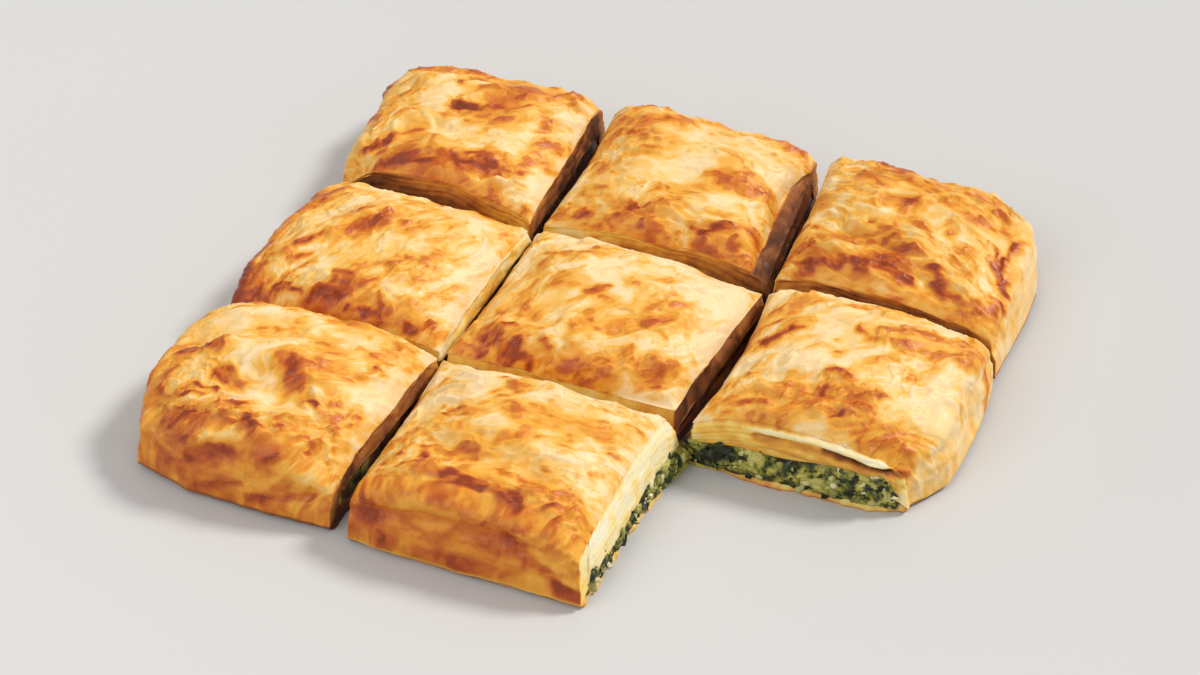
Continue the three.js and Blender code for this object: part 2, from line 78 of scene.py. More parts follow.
# Each slice has its corners in plan from the front left one anticlockwise, the lift of the lid at those
# corners, and the rise of its rims in the middle of a side where that isn't RIM_RISE. Outer gives its outer
# sides with their bulge, shrunk how far a cut side is hollowed, lean how far the top of a cut side is drawn
# in, and rounded a corner that is drawn in: which one, how far across, how far deep and within what reach.
# Open is the cut side next to the missing slice, how far it spreads and how far the lid sinks there, at its
# outer end and at its far end, and spill is what has run out into the gap.
# Grain is the way that the folds of the skin run, in degrees, and bake how much browner the whole slice is.
# Folds are lines with a half width and a height, vents have a half width and a depth, and crackle is a
# middle and a reach each way. Golden, browned and scorched lines are where the oven has caught the skin,
# and pale ones where it hasn't. Marks on a side follow a line of points, each along the side and above the
# table, then half width, how much browner, and how far out they stand.
# Rim tone is how much browner the skin gets at a cut side. Cut tone and shade is how brown that side is, at
# its top and bottom where it starts and then where it ends, partly the pastry's own colour and partly painted
# shade that darkens a side in a narrow gap between slices. Drape is how far down and out the lid's cut edge
# droops, and green bits are where spinach shows in a cut.
SLICES = [
    {
        "name": "back_left",
        "grain": 35,
        "corners": ((LEFT + 4, 45), (-51, 44.8), (-54.5, BACK + 1), (LEFT - 1, BACK)),
        "lift": (0, 0, 5.5, 5),
        "rims": {"front": 9, "right": 4},
        "outer": {"back": 0, "left": 2},
        "rounded": (3, 3, 3, 28),
        "folds": (
            (-124, 48, -103, 71, 6, -2.2), (-112, 54, -98, 57, 7, 2.4), (-92, 58, -72, 66, 7, 2.2),
            (-118, 100, -78, 108, 7, 1.4),
        ),
        "scorched": (
            (-123, 55, -117, 60, 2.4), (-112, 48, -90, 50, 2.2), (-84, 52, -72, 57, 4.2),
            (-106, 49, -102, 50, 3.4),
            (-102, 87, -92, 89, 1.7), (-104, 101, -104, 102, 1.6),
        ),
        "browned": (
            (-117, 62, -106, 68, 2.2), (-90, 53, -68, 57, 4.6), (-90, 103, -78, 107, 1.8),
            (-69, 112, -64, 117, 2.0),
            (-117, 52, -116, 52, 2.0), (-96, 53, -96, 54, 1.4), (-70, 58, -62, 60, 2.6),
        ),
        "golden": (
            (-109, 55, -98, 57, 5), (-80, 94, -74, 96, 7), (-66, 92, -62, 95, 4), (-93, 79, -81, 84, 3),
            (-103, 79, -100, 80, 2.6), (-122, 112, -84, 120, 5), (-62, 64, -60, 84, 3),
        ),
        "pale": (
            (-120, 72, -120, 56, 5), (-96, 71, -69, 76, 6), (-110, 84, -114, 100, 4),
        ),
        "vents": ((-102, 87, -92, 89, 1.5, 2.0), (-107, 105, -102, 105, 1.0, 0.9)),
        "marks": {"left": ((((97, 24), (104, 25)), 2.4, 0.8, 2.6),)},
        "rim_tone": {"right": -0.2, "front": 0.1},
        "cut_tone_and_shade": {"front": (0.84, 0.95, 0.34, 0.6), "right": (0.6, 0.94, 0.84, 0.98)},
    },
    {
        "name": "back_centre",
        "grain": 15,
        "corners": ((-46, 47), (45.2, 46.5), (36, BACK), (-47.5, BACK + 1)),
        "lift": (0, 1.5, 2.5, 4.5),
        "rims": {"front": 3.2, "right": -1, "left": 0.8},
        "outer": {"back": 0.5},
        "shrunk": {"left": 1.5},
        "lean": {"right": 7},
        "folds": (
            (-30, 99, -14, 97, 7, 1.6), (14, 50, 36, 58, 8, 2.4), (-18, 50, -4, 54, 7, 2.0),
            (-8, 84, 28, 74, 7, -1.4), (-32, 117, -8, 117, 8, 1.4),
        ),
        "crackle": ((16, 50, 20, 6), (-10, 60, 10, 12)),
        "scorched": (
            (20, 54, 25, 57, 2.8), (12, 52, 18, 50, 1.8), (-8, 50, -8, 51, 1.5), (-34, 51, -29, 51, 1.8),
        ),
        "browned": (
            (-29, 98, -27, 98, 2.8), (28, 52, 30, 54, 2.6), (16, 47, 21, 47, 2.2), (31, 48, 36, 47, 5),
            (-2, 47, 2, 48, 4), (-13, 52, -11, 52, 2), (-23, 47, -22, 48, 2), (12, 84, 22, 90, 2.4),
        ),
        "golden": (
            (-28, 97, -18, 93, 5.5), (-33, 61, -27, 62, 4), (4, 68, 8, 69, 3), (-9, 63, -8, 64, 2.6),
            (0, 58, 2, 58, 2.6), (-36, 78, -30, 73, 4), (-38, 92, -34, 112, 4), (18, 82, 30, 84, 4),
        ),
        "pale": (
            (-29, 81, -13, 64, 6), (-5, 85, 6, 98, 6), (8, 64, 29, 80, 6), (21, 113, 34, 92, 6),
        ),
        "vents": ((2, 96, 3, 96, 1.0, 0.8),),
        "rim_tone": {"right": 0.06, "back": 0.0, "front": 0.1},
        "cut_tone_and_shade": {"front": (0.16, 0.4, 0.66, 0.8), "right": (0.82, 0.9, 0.7, 0.86)},
        "green_bits": ((-30, 46, -8, 46),),
    },
    {
        "name": "back_right",
        "grain": -15,
        "corners": ((47.8, 47), (RIGHT - 2, 43.4), (RIGHT - 3, BACK), (43, BACK + 0.5)),
        "lift": (1.5, 0, 2, 5),
        "rims": {"left": 4.5},
        "outer": {"right": 0, "back": 0},
        "rounded": (2, 6.5, 6.5, 28),
        "shrunk": {"left": 2},
        "folds": (
            (52, 88, 94, 71, 7, 2.2), (94, 71, 128, 46, 7, 2.0), (66, 72, 112, 50, 7, -1.6),
            (118, 94, 128, 64, 7, -1.8),
        ),
        "scorched": (
            (58, 50, 71, 52, 3.0), (78, 52, 90, 56, 4.2), (94, 52, 97, 54, 3.2), (104, 59, 110, 52, 3.0),
            (127, 91, 126, 76, 1.6), (124, 75, 130, 66, 2.2), (121, 84, 124, 75, 1.5),
            (74, 76, 75, 76, 1.5),
        ),
        "browned": (
            (112, 51, 124, 48, 2.4), (60, 98, 62, 98, 1.8), (130, 58, 130, 50, 2.2), (54, 70, 55, 70, 1.8),
            (104, 82, 105, 82, 1.7), (71, 62, 78, 65, 2.6), (50, 55, 53, 59, 2.2), (82, 68, 87, 69, 2.0),
        ),
        "golden": (
            (60, 106, 112, 112, 5), (90, 102, 104, 98, 5), (88, 84, 100, 72, 3), (112, 94, 124, 98, 5),
            (60, 62, 84, 74, 4), (110, 66, 116, 60, 4),
        ),
        "pale": (
            (63, 85, 83, 84, 6), (83, 84, 108, 62, 5),
        ),
        "vents": ((74, 76, 75, 76, 1.3, 1.6), (60, 98, 63, 98, 1.0, 0.7), (104, 82, 105, 82, 1.0, 0.7)),
        "marks": {"right": ((((73, 26), (68, 24), (62, 24), (47, 15)), 1.6, 0.22, -0.9),)},
        "rim_tone": {"left": -0.1, "front": 0.15},
        "cut_tone_and_shade": {"front": (0.6, 0.78, 0.7, 0.86)},
    },
    {
        "name": "middle_left",
        "grain": 55,
        "bake": 0.02,
        "corners": ((LEFT + 1, -42.5), (-49.8, -40), (-49.8, 40.4), (LEFT + 5, 42)),
        "lift": (0, 0, 0, 0),
        "rims": {"front": 3.5, "right": 3.6, "back": 0.2},
        "outer": {"left": 2.5},
        "shrunk": {"back": 1.5},
        "folds": (
            (-122, -20, -93, 10, 7, 2.2), (-120, -40, -108, -14, 6, -2.0), (-110, -38, -72, -18, 7, 2.4),
            (-96, 4, -64, 22, 7, 1.6),
        ),
        "crackle": ((-112, -30, 12, 12),),
        "scorched": (
            (-118, -17, -114, -14, 1.8), (-127, -40, -116, -36, 2.6), (-114, -37, -106, -38, 1.3),
            (-96, -33, -94, -38, 1.9), (-97, -30, -90, -29, 1.3), (-88, -38, -74, -37, 1.4),
            (-77, -31, -74, -35, 1.3),
            (-65, -38, -61, -38, 1.8),
        ),
        "browned": (
            (-113, -13, -90, 3, 2.6), (-95, 2, -92, 3, 1.8), (-118, -24, -112, -20, 1.4),
            (-85, -30, -82, -27, 2.4),
            (-82, -19, -80, -19, 2.2), (-60, -36, -54, -35, 3), (-115, -30, -108, -24, 1.4),
            (-85, 6, -84, 6, 1.6),
        ),
        "golden": (
            (-92, -22, -80, -18, 4), (-80, -11, -70, -10, 2.8), (-66, -2, -62, -2, 3.4),
            (-68, -12, -64, -11, 2.6),
            (-82, 5, -78, 6, 3), (-104, -18, -100, -17, 2), (-119, 12, -117, 13, 2),
            (-80, -34, -78, -33, 4),
        ),
        "pale": (
            (-109, 26, -61, 38, 9), (-101, -23, -82, -8, 3.5), (-124, -3, -106, 12, 5),
            (-62, -6, -56, 20, 6),
            (-124, -31, -100, -24, 2.6), (-110, -33, -101, -30, 2.0),
        ),
        "vents": (),
        "marks": {"left": ((((-42, 20), (-25, 25), (-12, 28)), 2.0, 0.7, 0.8),)},
        "rim_tone": {"right": -0.18, "back": -0.08, "front": 0.12},
        "cut_tone_and_shade": {"right": (0.1, 0.7, 0.1, 0.55), "front": (0.58, 0.62, 0.36, 0.4)},
        "green_bits": ((-50, -20, -50, -8), (-50, 12, -50, 30)),
    },
    {
        "name": "middle_centre",
        "grain": 42,
        "bake": -0.06,
        "corners": ((-47, -39), (40.8, -36.6), (45.6, 39), (-46.4, 41.2)),
        "lift": (0, -2.5, -2, 0),
        "rims": {"front": -1.5, "right": 0.8, "back": 0.8, "left": 0.8},
        "outer": {},
        "shrunk": {"left": 2},
        "folds": (
            (-2, -30, 16, -31, 8, 2.6), (-32, -30, -16, -35, 8, 2.4), (30, -24, 38, -22, 7, 2.0),
            (4, -24, 13, -12, 6, -1.8), (-20, 2, 22, 8, 8, 1.6),
        ),
        "scorched": (
            (-35, -34, -29, -33, 4.0), (-23, -34, -21, -34, 3.2), (-27, -37, -16, -37, 2.4),
            (-29, -29, -25, -28, 1.7),
        ),
        "browned": (
            (-4, -36, 1, -34, 2.5), (2, -36, 8, -37, 2.6), (-6, -5, 0, 2, 1.3), (28, -31, 32, -30, 2.6),
            (-13, -32, -10, -33, 2.0), (10, -33, 15, -36, 3.2),
        ),
        "golden": (
            (18, 1, 24, 2, 5.5), (18, -4, 23, -7, 2.6), (25, -30, 36, -25, 3.2), (7, 7, 8, 7, 3.4),
            (-1, -5, 3, -6, 2.6),
            (-20, -5, -13, -2, 2.0), (-32, 16, -25, 13, 2.6), (0, -17, 3, -19, 1.8),
            (-4, -27, -3, -27, 1.8),
            (17, -24, 18, -24, 1.6), (-43, -30, -43, 0, 4),
        ),
        "pale": (
            (-29, 23, 33, 27, 9), (-40, -12, -14, -12, 7), (39, -9, 41, 22, 6), (7, -26, 22, -23, 4),
            (-12, -38, -9, -26, 3.5), (18, -38, 20, -29, 3.2), (24, -37, 38, -36, 2.6),
        ),
        "vents": ((5, -28, 11, -17, 1.1, 0.9),),
        "rim_tone": {"right": -0.16, "back": -0.2, "left": 0.0, "front": 0.0},
        "cut_tone_and_shade": {"right": (0.8, 0.95, 0.76, 0.94), "front": (0.34, 0.4, 0.4, 0.5)},
        "drape": {"front": (6.5, 3.6), "right": (5, 1.8)},
    },
    {
        "name": "middle_right",
        "grain": 32,
        "corners": ((49.4, -41.6), (RIGHT - 1, -39.4), (RIGHT - 2, 40.6), (48, 39)),
        "lift": (0, -2, 0, 0),
        "rims": {"back": 5, "left": 2.5},
        "outer": {"right": 2.3},
        "rounded": (1, 7, 4, 20),
        "shrunk": {"left": 4.5},
        "open": {"side": "front", "near": 3.8, "far": 0, "sunk_near": 0, "sunk_far": 6},
        "spill": {"x": 50, "y": -41, "reach": 20, "push": -4.6},
        "folds": (
            (58, 2, 74, 8, 7, 2.0), (84, -12, 114, -24, 8, 2.2), (88, 16, 118, 10, 8, 1.8),
            (120, 4, 128, -22, 6, -1.6), (118, -36, 130, -30, 3.5, 1.4), (124, -38, 126, -26, 2.2, -1.2),
        ),
        "crackle": ((90, -24, 24, 12),),
        "scorched": (
            (62, -4, 69, 4, 2.4), (91, -17, 99, -15, 2.0), (92, -25, 92, -24, 1.6), (99, -35, 101, -33, 1.6),
        ),
        "browned": (
            (71, 4, 74, 5, 3.0), (63, -36, 76, -35, 1.4), (80, -36, 81, -35, 1.5), (81, -29, 82, -29, 1.4),
            (100, -24, 101, -24, 1.6), (110, -30, 110, -28, 2.2), (107, -36, 108, -35, 2.2),
            (105, -23, 112, -19, 1.6),
            (122, -39, 128, -38, 3.4), (94, 10, 100, 7, 1.6), (127, 28, 130, 26, 4),
        ),
        "golden": (
            (61, -35, 95, -26, 5.0), (98, -24, 106, -28, 7), (120, -33, 125, -31, 5),
            (103, 14, 104, 14, 4.5),
            (89, -4, 90, -4, 2.6), (63, -22, 64, -22, 2.4), (57, -27, 58, -26, 2.6),
            (117, -4, 118, -4, 2.0),
        ),
        "pale": (
            (84, 18, 118, 34, 6), (114, -2, 129, -17, 7), (136, 6, 140, -30, 8),
        ),
        "vents": ((122, -18, 128, -14, 1.2, 0.8),),
        "marks": {
            "front": (
                (((74, 23), (89, 23.4), (99, 23.2), (108, 22), (121, 19.2)), 1.5, 0.22, -1.0),
                (((99, 23), (108, 22), (121, 19.2), (126, 16.5)), 1.2, 0.3, -1.2),
                (((70, 25.6), (99, 25.8), (121, 22)), 1.6, -0.2, 0.9),
                (((72, 20), (108, 19.2), (122, 16)), 2.0, 0.06, 1.0),
                # Painted light: the rounded end of the wall, turned away from the key lamp, is made paler.
                (((129, 5), (130, 18)), 3.4, -0.2, 0.9),
                (((127, 12), (134, 8)), 1.2, 0.15, -0.8),
                (((127, 4), (134, 3)), 1.2, 0.25, 0.0),
            ),
            "right": (
                (((23, 4), (26, 17)), 2.2, 0.6, 0.6),
                (((10, 2), (9, 22)), 6.5, 0.0, -3.2),
                (((-3, 26), (-3, 16)), 1.3, 0.2, -0.9),
            ),
        },
        "rim_tone": {"back": -0.12, "front": -0.04, "left": -0.06},
        "cut_tone_and_shade": {"front": (0.24, 0.38, 0.3, 0.42)},
        "drape": {"front": (0, 0)},
    },
    {
        "name": "front_left",
        "grain": 32,
        "corners": ((LEFT, FRONT + 1), (-53, FRONT + 1), (-49.2, -43.2), (LEFT + 3, -45.4)),
        "lift": (0, -3, 0, 1),
        "rims": {"right": 1.5, "back": 5},
        "outer": {"front": 0, "left": 4},
        "rounded": (0, 6, 6, 28),
        "folds": (
            (-112, -84, -64, -90, 8, 3.2), (-128, -80, -104, -74, 7, -2.4), (-122, -102, -88, -99, 7, -2.6),
            (-116, -114, -74, -115, 7, 1.6),
        ),
        "crackle": ((-92, -114, 24, 7), (-118, -92, 12, 8)),
        "scorched": (
            (-129, -88, -114, -85, 3.2), (-87, -87, -84, -91, 3.2), (-102, -110, -93, -108, 1.4),
            (-72, -99, -70, -99, 1.8),
            (-109, -96, -105, -98, 2.2), (-116, -103, -106, -105, 1.2),
            (-90, -114, -84, -116, 1.8), (-117, -108, -110, -108, 1.3),
        ),
        "browned": (
            (-103, -97, -98, -98, 2.4), (-111, -96, -106, -96, 3), (-79, -94, -77, -95, 2.2),
            (-86, -86, -82, -92, 5.5),
            (-112, -114, -110, -114, 1.8), (-77, -112, -76, -112, 1.6), (-104, -116, -82, -117, 2.4),
        ),
        "golden": (
            (-68, -80, -66, -80, 3.2), (-61, -54, -59, -56, 3.6), (-83, -69, -81, -69, 4.2),
            (-96, -63, -94, -63, 2.2),
            (-106, -68, -102, -68, 3.4), (-58, -98, -57, -94, 3), (-64, -92, -60, -112, 4),
            (-76, -78, -74, -84, 4),
        ),
        "pale": (
            (-119, -70, -81, -57, 8), (-121, -97, -89, -74, 4.5), (-70, -66, -56, -76, 7),
            (-64, -105, -59, -80, 5),
        ),
        "vents": (),
        "marks": {
            "front": (
                # The first mark is partly a browned crease and partly painted shade in it; the two paler
                # ridges that stand out after it are partly pale pastry and partly painted highlight.
                (((-108, 17), (-98, 21.7), (-82, 26), (-76, 25)), 2.6, 0.28, -0.7),
                (((-102, 25.5), (-90, 29)), 2.0, -0.22, 0.8),
                (((-79, 17), (-68, 20)), 3.2, -0.22, 0.6),
                (((-84, 7), (-61, 13)), 1.5, 0.3, -0.7),
                (((-110, 4.5), (-87, 12)), 1.3, 0.25, -0.5),
            ),
        },
        "rim_tone": {"right": -0.07, "back": -0.14},
        "cut_tone_and_shade": {"right": (0.84, 0.97, 0.62, 0.8)},
        "green_bits": ((-52, -126, -52, -100),),
    },
    {
        "name": "front_centre",
        "grain": 12,
        "bake": -0.03,
        "corners": ((-45, FRONT - 1), (41, FRONT - 1.5), (40.4, -43.6), (-46.6, -43.4)),
        "lift": (0, 0, 0, 0),
        "rims": {"right": 5, "back": -1.5, "left": -1},
        "outer": {"front": 0},
        "shrunk": {"left": 1.0, "back": 2.5},
        "open": {"side": "right", "near": 5, "far": 9, "sunk_near": 6.5, "sunk_far": 7.5},
        "folds": (
            (-38, -115, 34, -117, 6, 2.2), (-22, -103, 14, -105, 6, -2.6), (-16, -90, 24, -94, 8, 2.0),
            (-30, -62, 10, -60, 8, 1.6),
        ),
        "crackle": ((-28, -107, 14, 8), (22, -113, 14, 6)),
        "scorched": (
            (-14, -115.5, 1, -115, 2.8), (9, -117, 16, -117, 2.6), (25, -117, 28, -115, 1.2),
            (30, -119, 31, -118, 1.3),
            (-24, -112, -24, -107, 1.8), (-7, -104, -6, -104, 1.4),
        ),
        "browned": (
            (-13, -100, -8, -101, 3.2), (-38, -112, -33, -109, 1.5), (-34, -106, -22, -101, 1.3),
            (32, -110, 33, -110, 1.5),
            (-15, -62, -14, -62, 1.5), (-30, -82, -30, -81, 1.4),
        ),
        "golden": (
            (28, -110, 34, -114, 6), (4, -107, 20, -111, 4), (-30, -114, -20, -116, 4),
            (-34, -120, 36, -122, 4), (36, -62, 37, -62, 3.0),
            (21, -89, 22, -89, 2.2), (35, -81, 36, -81, 2.4), (18, -101, 19, -101, 1.8),
            (9, -90, 11, -90, 2.4),
            (-22, -82, -20, -82, 2.4), (-6, -77, -1, -79, 3.2), (-12, -72, -9, -72, 2.4),
            (0, -95, 6, -96, 3.6),
        ),
        "pale": (
            (-27, -70, 37, -59, 9), (-3, -89, 38, -88, 8), (-38, -80, -20, -70, 7),
        ),
        "vents": (),
        "marks": {
            "front": (
                (((-38, 22), (-21, 25.5), (-8, 27.5)), 2.6, 0.14, 0.9),
                (((-8, 27.5), (8, 27.5), (18, 25), (28, 21), (36, 15)), 2.2, 0.0, 0.9),
                # Painted shade: the browner band in the hollow under the shoulder's crest, which is also
                # pushed in.
                (
                    ((-42, 13), (-33, 16), (-18, 20.5), (-3, 21.5), (5, 21.5), (12, 20), (20, 16.5),
                    (27, 12), (34, 8), (41, 6)),
                    2.6, 0.2, -1.1,
                ),
                (((35, 7), (41, 5)), 3.0, 0.36, 0.0),
                (((-41, 12), (-36, 14)), 2.4, 0.14, 0.0),
                (((-6, 4), (2, 3.5)), 2.2, 0.25, 0.0),
            ),
        },
        "rim_tone": {"right": -0.17, "back": -0.17, "left": -0.04},
        "cut_tone_and_shade": {"right": (0.02, 0.16, 0.04, 0.2), "left": (0.5, 0.8, 0.5, 0.8)},
        "drape": {"right": (2.4, 0.8)},
    },
]


# ---------------------------------------------------------------- seeded unevenness
def chance(i, j, seed):
    """A number from 0 to 1 that belongs to a grid point."""
    s = np.sin(i * 127.1 + j * 311.7 + seed * 74.7) * 43758.5453
    return s - np.floor(s)


def smooth_step(low, high, x):
    t = np.clip((x - low) / (high - low), 0.0, 1.0)
    return t * t * (3 - 2 * t)


def noise(x, y, seed):
    """Smooth noise from -1 to 1 with bumps about one unit across."""
    i, j = np.floor(x), np.floor(y)
    fx, fy = smooth_step(0, 1, x - i), smooth_step(0, 1, y - j)
    low = chance(i, j, seed) * (1 - fx) + chance(i + 1, j, seed) * fx
    high = chance(i, j + 1, seed) * (1 - fx) + chance(i + 1, j + 1, seed) * fx
    return 2 * (low * (1 - fy) + high * fy) - 1


def rough(x, y, octaves, seed):
    """Noise with ever finer bumps added, each octave turned a little."""
    total = np.zeros(np.shape(x))
    weight = 1.0
    for octave in range(octaves):
        total += weight * noise(x, y, seed + 17 * octave)
        x, y = 1.62 * x + 1.18 * y + 5.2, -1.18 * x + 1.62 * y + 1.3
        weight *= 0.5
    return total


def crests(x, y, seed):
    """Narrow crests from 0 to 1 where the noise crosses zero."""
    return (1 - np.abs(noise(x, y, seed))) ** 3


def flakes(x, y, seed):
    """Irregular flakes about one unit across: how far inside its rim a place is, and each flake's number."""
    i, j = np.floor(x), np.floor(y)
    nearest, second = np.full(np.shape(x), 9.0), np.full(np.shape(x), 9.0)
    picked = np.zeros(np.shape(x))
    for across in (-1, 0, 1):
        for deep in (-1, 0, 1):
            ci, cj = i + across, j + deep
            distance = np.hypot(x - ci - chance(ci, cj, seed), y - cj - chance(ci, cj, seed + 5))
            closer = distance < nearest
            second = np.where(closer, nearest, np.minimum(second, distance))
            picked = np.where(closer, chance(ci, cj, seed + 9), picked)
            nearest = np.minimum(nearest, distance)
    return second - nearest, picked


# ---------------------------------------------------------------- a slice's plan and heights
def is_outer(part, side):
    return side in part["outer"]


def size_of(part):
    (flx, fly), (frx, fry), (brx, bry), (blx, bly) = part["corners"]
    return (frx - flx + brx - blx) / 2, (bly - fly + bry - fry) / 2


def edge_distances(part, u, v):
    width, depth = size_of(part)
    return {"left": u * width, "right": (1 - u) * width, "front": v * depth, "back": (1 - v) * depth}


def nearness_of(u, v):
    """1 at a side, falling off to 0 at the side across from it."""
    return {"left": 1 - u, "right": u, "front": 1 - v, "back": v}


def distance_to(part, u, v, outer):
    """Distance to the nearest outer side, or to the nearest cut side."""
    nearest = np.full(len(u), FAR)
    for side, distance in edge_distances(part, u, v).items():
        if is_outer(part, side) == outer:
            nearest = np.minimum(nearest, distance)
    return nearest


def spread_at(part, u, v):
    """How far an open cut spreads."""
    opened = part["open"]
    towards_next, nearness = (v, u) if opened["side"] == "right" else (1 - u, 1 - v)
    return (opened["near"] + (opened["far"] - opened["near"]) * towards_next**4) * nearness**6


def plan_point(part, u, v, inset, spread=0.0):
    """Plan position in a slice, its outer sides drawn in and an open cut moved by a share of its spread."""
    drawn = {s: (inset * SHOULDER[s] if is_outer(part, s) else 0.0) for s in OUTWARD}
    (flx, fly), (frx, fry), (brx, bry), (blx, bly) = part["corners"]
    left = (flx * (1 - v) + blx * v) + drawn["left"]
    right = (frx * (1 - v) + brx * v) - drawn["right"]
    front = (fly * (1 - u) + fry * u) + drawn["front"]
    back = (bly * (1 - u) + bry * u) - drawn["back"]
    x = left * (1 - u) + right * u
    y = front * (1 - v) + back * v
    nearness = nearness_of(u, v)
    for side, bulge in part["outer"].items():
        out_x, out_y = OUTWARD[side]
        along = v if out_x else u
        swell = bulge * (1 - np.abs(2 * along - 1) ** 3) * nearness[side] ** 2
        wave = nearness[side] ** 4 * noise(x / 26, y / 26, 3)
        x = x + out_x * (swell + wave)
        y = y + out_y * (swell + wave)
    for side, depth in part.get("shrunk", {}).items():
        out_x, out_y = OUTWARD[side]
        hollow = depth * (1 - (2 * (v if out_x else u) - 1) ** 2) * nearness[side] ** 2
        x = x - out_x * hollow
        y = y - out_y * hollow
    if "open" in part:
        out_x, out_y = OUTWARD[part["open"]["side"]]
        x = x + out_x * spread * spread_at(part, u, v)
        y = y + out_y * spread * spread_at(part, u, v)
    if "rounded" in part:
        corner, draw_x, draw_y, reach = part["rounded"]
        cx, cy = part["corners"][corner]
        near = np.maximum(0, 1 - np.hypot(x - cx, y - cy) / reach)
        x = x - math.copysign(draw_x, cx) * near
        y = y - math.copysign(draw_y, cy) * near
    return x, y


def line_distance(x, y, x1, y1, x2, y2):
    ax, ay = x2 - x1, y2 - y1
    share = np.clip(((x - x1) * ax + (y - y1) * ay) / (ax * ax + ay * ay + 1e-9), 0, 1)
    return np.hypot(x - x1 - share * ax, y - y1 - share * ay)


def path_distance(x, y, points):
    """Distance to a line through several points."""
    nearest = np.full(np.shape(x), 1e3)
    for (x1, y1), (x2, y2) in zip(points, points[1:]):
        nearest = np.minimum(nearest, line_distance(x, y, x1, y1, x2, y2))
    return nearest


def lid_top(part, u, v, x, y):
    across = np.abs(2 * u - 1) ** 3
    deep = np.abs(2 * v - 1) ** 3
    fl, fr, br, bl = part["lift"]
    lift = np.where(v < 0.5, np.where(u < 0.5, fl, fr), np.where(u < 0.5, bl, br))
    rise = {side: part.get("rims", {}).get(side, RIM_RISE) for side in OUTWARD}
    height = CORNER_TOP + DOME * (1 - across) * (1 - deep) + lift * np.sqrt(across * deep)
    height = height + np.where(u < 0.5, rise["left"], rise["right"]) * across * (1 - deep)
    height = height + np.where(v < 0.5, rise["front"], rise["back"]) * deep * (1 - across)
    for x1, y1, x2, y2, half_width, raised in part["folds"]:
        height = height + raised * np.exp(-((line_distance(x, y, x1, y1, x2, y2) / half_width) ** 2))
    return height + 0.9 * noise(x / 17, y / 11, 5)


def sink_at(part, u, v):
    """How far lid and filling sink towards an open cut."""
    if "open" not in part:
        return np.zeros(np.shape(u))
    opened = part["open"]
    width, depth = size_of(part)
    towards_next, distance = (v, (1 - u) * width) if opened["side"] == "right" else (1 - u, v * depth)
    sunk = opened["sunk_near"] + (opened["sunk_far"] - opened["sunk_near"]) * towards_next**1.5
    return sunk * (1 - smooth_step(0, SINK_REACH, distance))


def filling_top(part, u, v):
    """Height of the filling's top, which slopes down to nothing at the lid's outer walls."""
    full, begun = np.ones(np.shape(u)), np.ones(np.shape(u))
    distances = edge_distances(part, u, v)
    for side in part["outer"]:
        full = np.minimum(full, np.clip((distances[side] - WALL) / FILLING_TAPER, 0, 1))
        begun = np.minimum(begun, smooth_step(WALL - WALL_SLOPE, WALL, distances[side]))
    end = CRUST_BOTTOM + TOUCHING + FILLING_END
    top = CRUST_BOTTOM + TOUCHING + FILLING_END * begun
    uneven = 1.1 * noise(u * 5, v * 5, part["seed"]) * full
    return top + (FILLING_TOP - sink_at(part, u, v) - end) * full + uneven


def lid_bottom(part, u, v):
    distances = edge_distances(part, u, v)
    under_wall = np.zeros(np.shape(u), bool)
    for side in part["outer"]:
        under_wall |= distances[side] < WALL - WALL_SLOPE
    return np.where(under_wall, CRUST_BOTTOM, filling_top(part, u, v)) + TOUCHING


def spill_at(part, x, y):
    if "spill" not in part:
        return np.zeros(np.shape(x))
    spill = part["spill"]
    return spill["push"] * np.maximum(0, 1 - np.hypot(x - spill["x"], y - spill["y"]) / spill["reach"])


# ---------------------------------------------------------------- closed slabs to shape
def mesh_of(name, bm):
    mesh = bpy.data.meshes.new(name)
    bm.to_mesh(mesh)
    bm.free()
    return mesh


def set_down(name, data):
    """Puts a mesh, lamp or camera into the scene as an object."""
    held = bpy.data.objects.new(name, data)
    bpy.context.scene.collection.objects.link(held)
    return held


def slab(cells, cuts, levels, fine_top):
    """A closed unit slab: a grid raised into a block, its rims cut finely and its sides cut into levels."""
    bm = bmesh.new()
    bmesh.ops.create_grid(bm, x_segments=cells, y_segments=cells, size=0.5)
    raised = bmesh.ops.extrude_face_region(bm, geom=list(bm.faces), use_keep_orig=True)["geom"]
    top = [e for e in raised if isinstance(e, bmesh.types.BMVert)]
    bmesh.ops.translate(bm, verts=top, vec=(0, 0, 1))
    bmesh.ops.recalc_face_normals(bm, faces=bm.faces)

    def on_rim(edge):
        a, b = edge.verts
        flat = abs(a.co.z - b.co.z) < 0.5
        return flat and any(
            abs(abs(a.co[k]) - 0.5) < ON_RIM and abs(a.co[k] - b.co[k]) < ON_RIM for k in (0, 1)
        )

    fine = [e for e in bm.edges if on_rim(e) or (fine_top and min(v.co.z for v in e.verts) > 0.5)]
    bmesh.ops.subdivide_edges(bm, edges=fine, cuts=cuts, use_grid_fill=True)
    upright = [e for e in bm.edges if abs(e.verts[0].co.z - e.verts[1].co.z) > 0.5]
    bmesh.ops.subdivide_edges(bm, edges=upright, cuts=levels - 1, use_grid_fill=True)
    return bm


def shares_of(mesh):
    """Shares u, v and height h of every vertex of an unshaped slab, and which side each rim vertex is on."""
    co = np.empty(len(mesh.vertices) * 3)
    mesh.vertices.foreach_get("co", co)
    co = co.reshape(-1, 3)
    u, v, h = co[:, 0] + 0.5, co[:, 1] + 0.5, co[:, 2]
    on = {
        "front": v < ON_RIM,
        "right": u > 1 - ON_RIM,
        "back": v > 1 - ON_RIM,
        "left": u < ON_RIM,
    }
    return np.clip(u, 0, 1), np.clip(v, 0, 1), np.clip(h, 0, 1), on


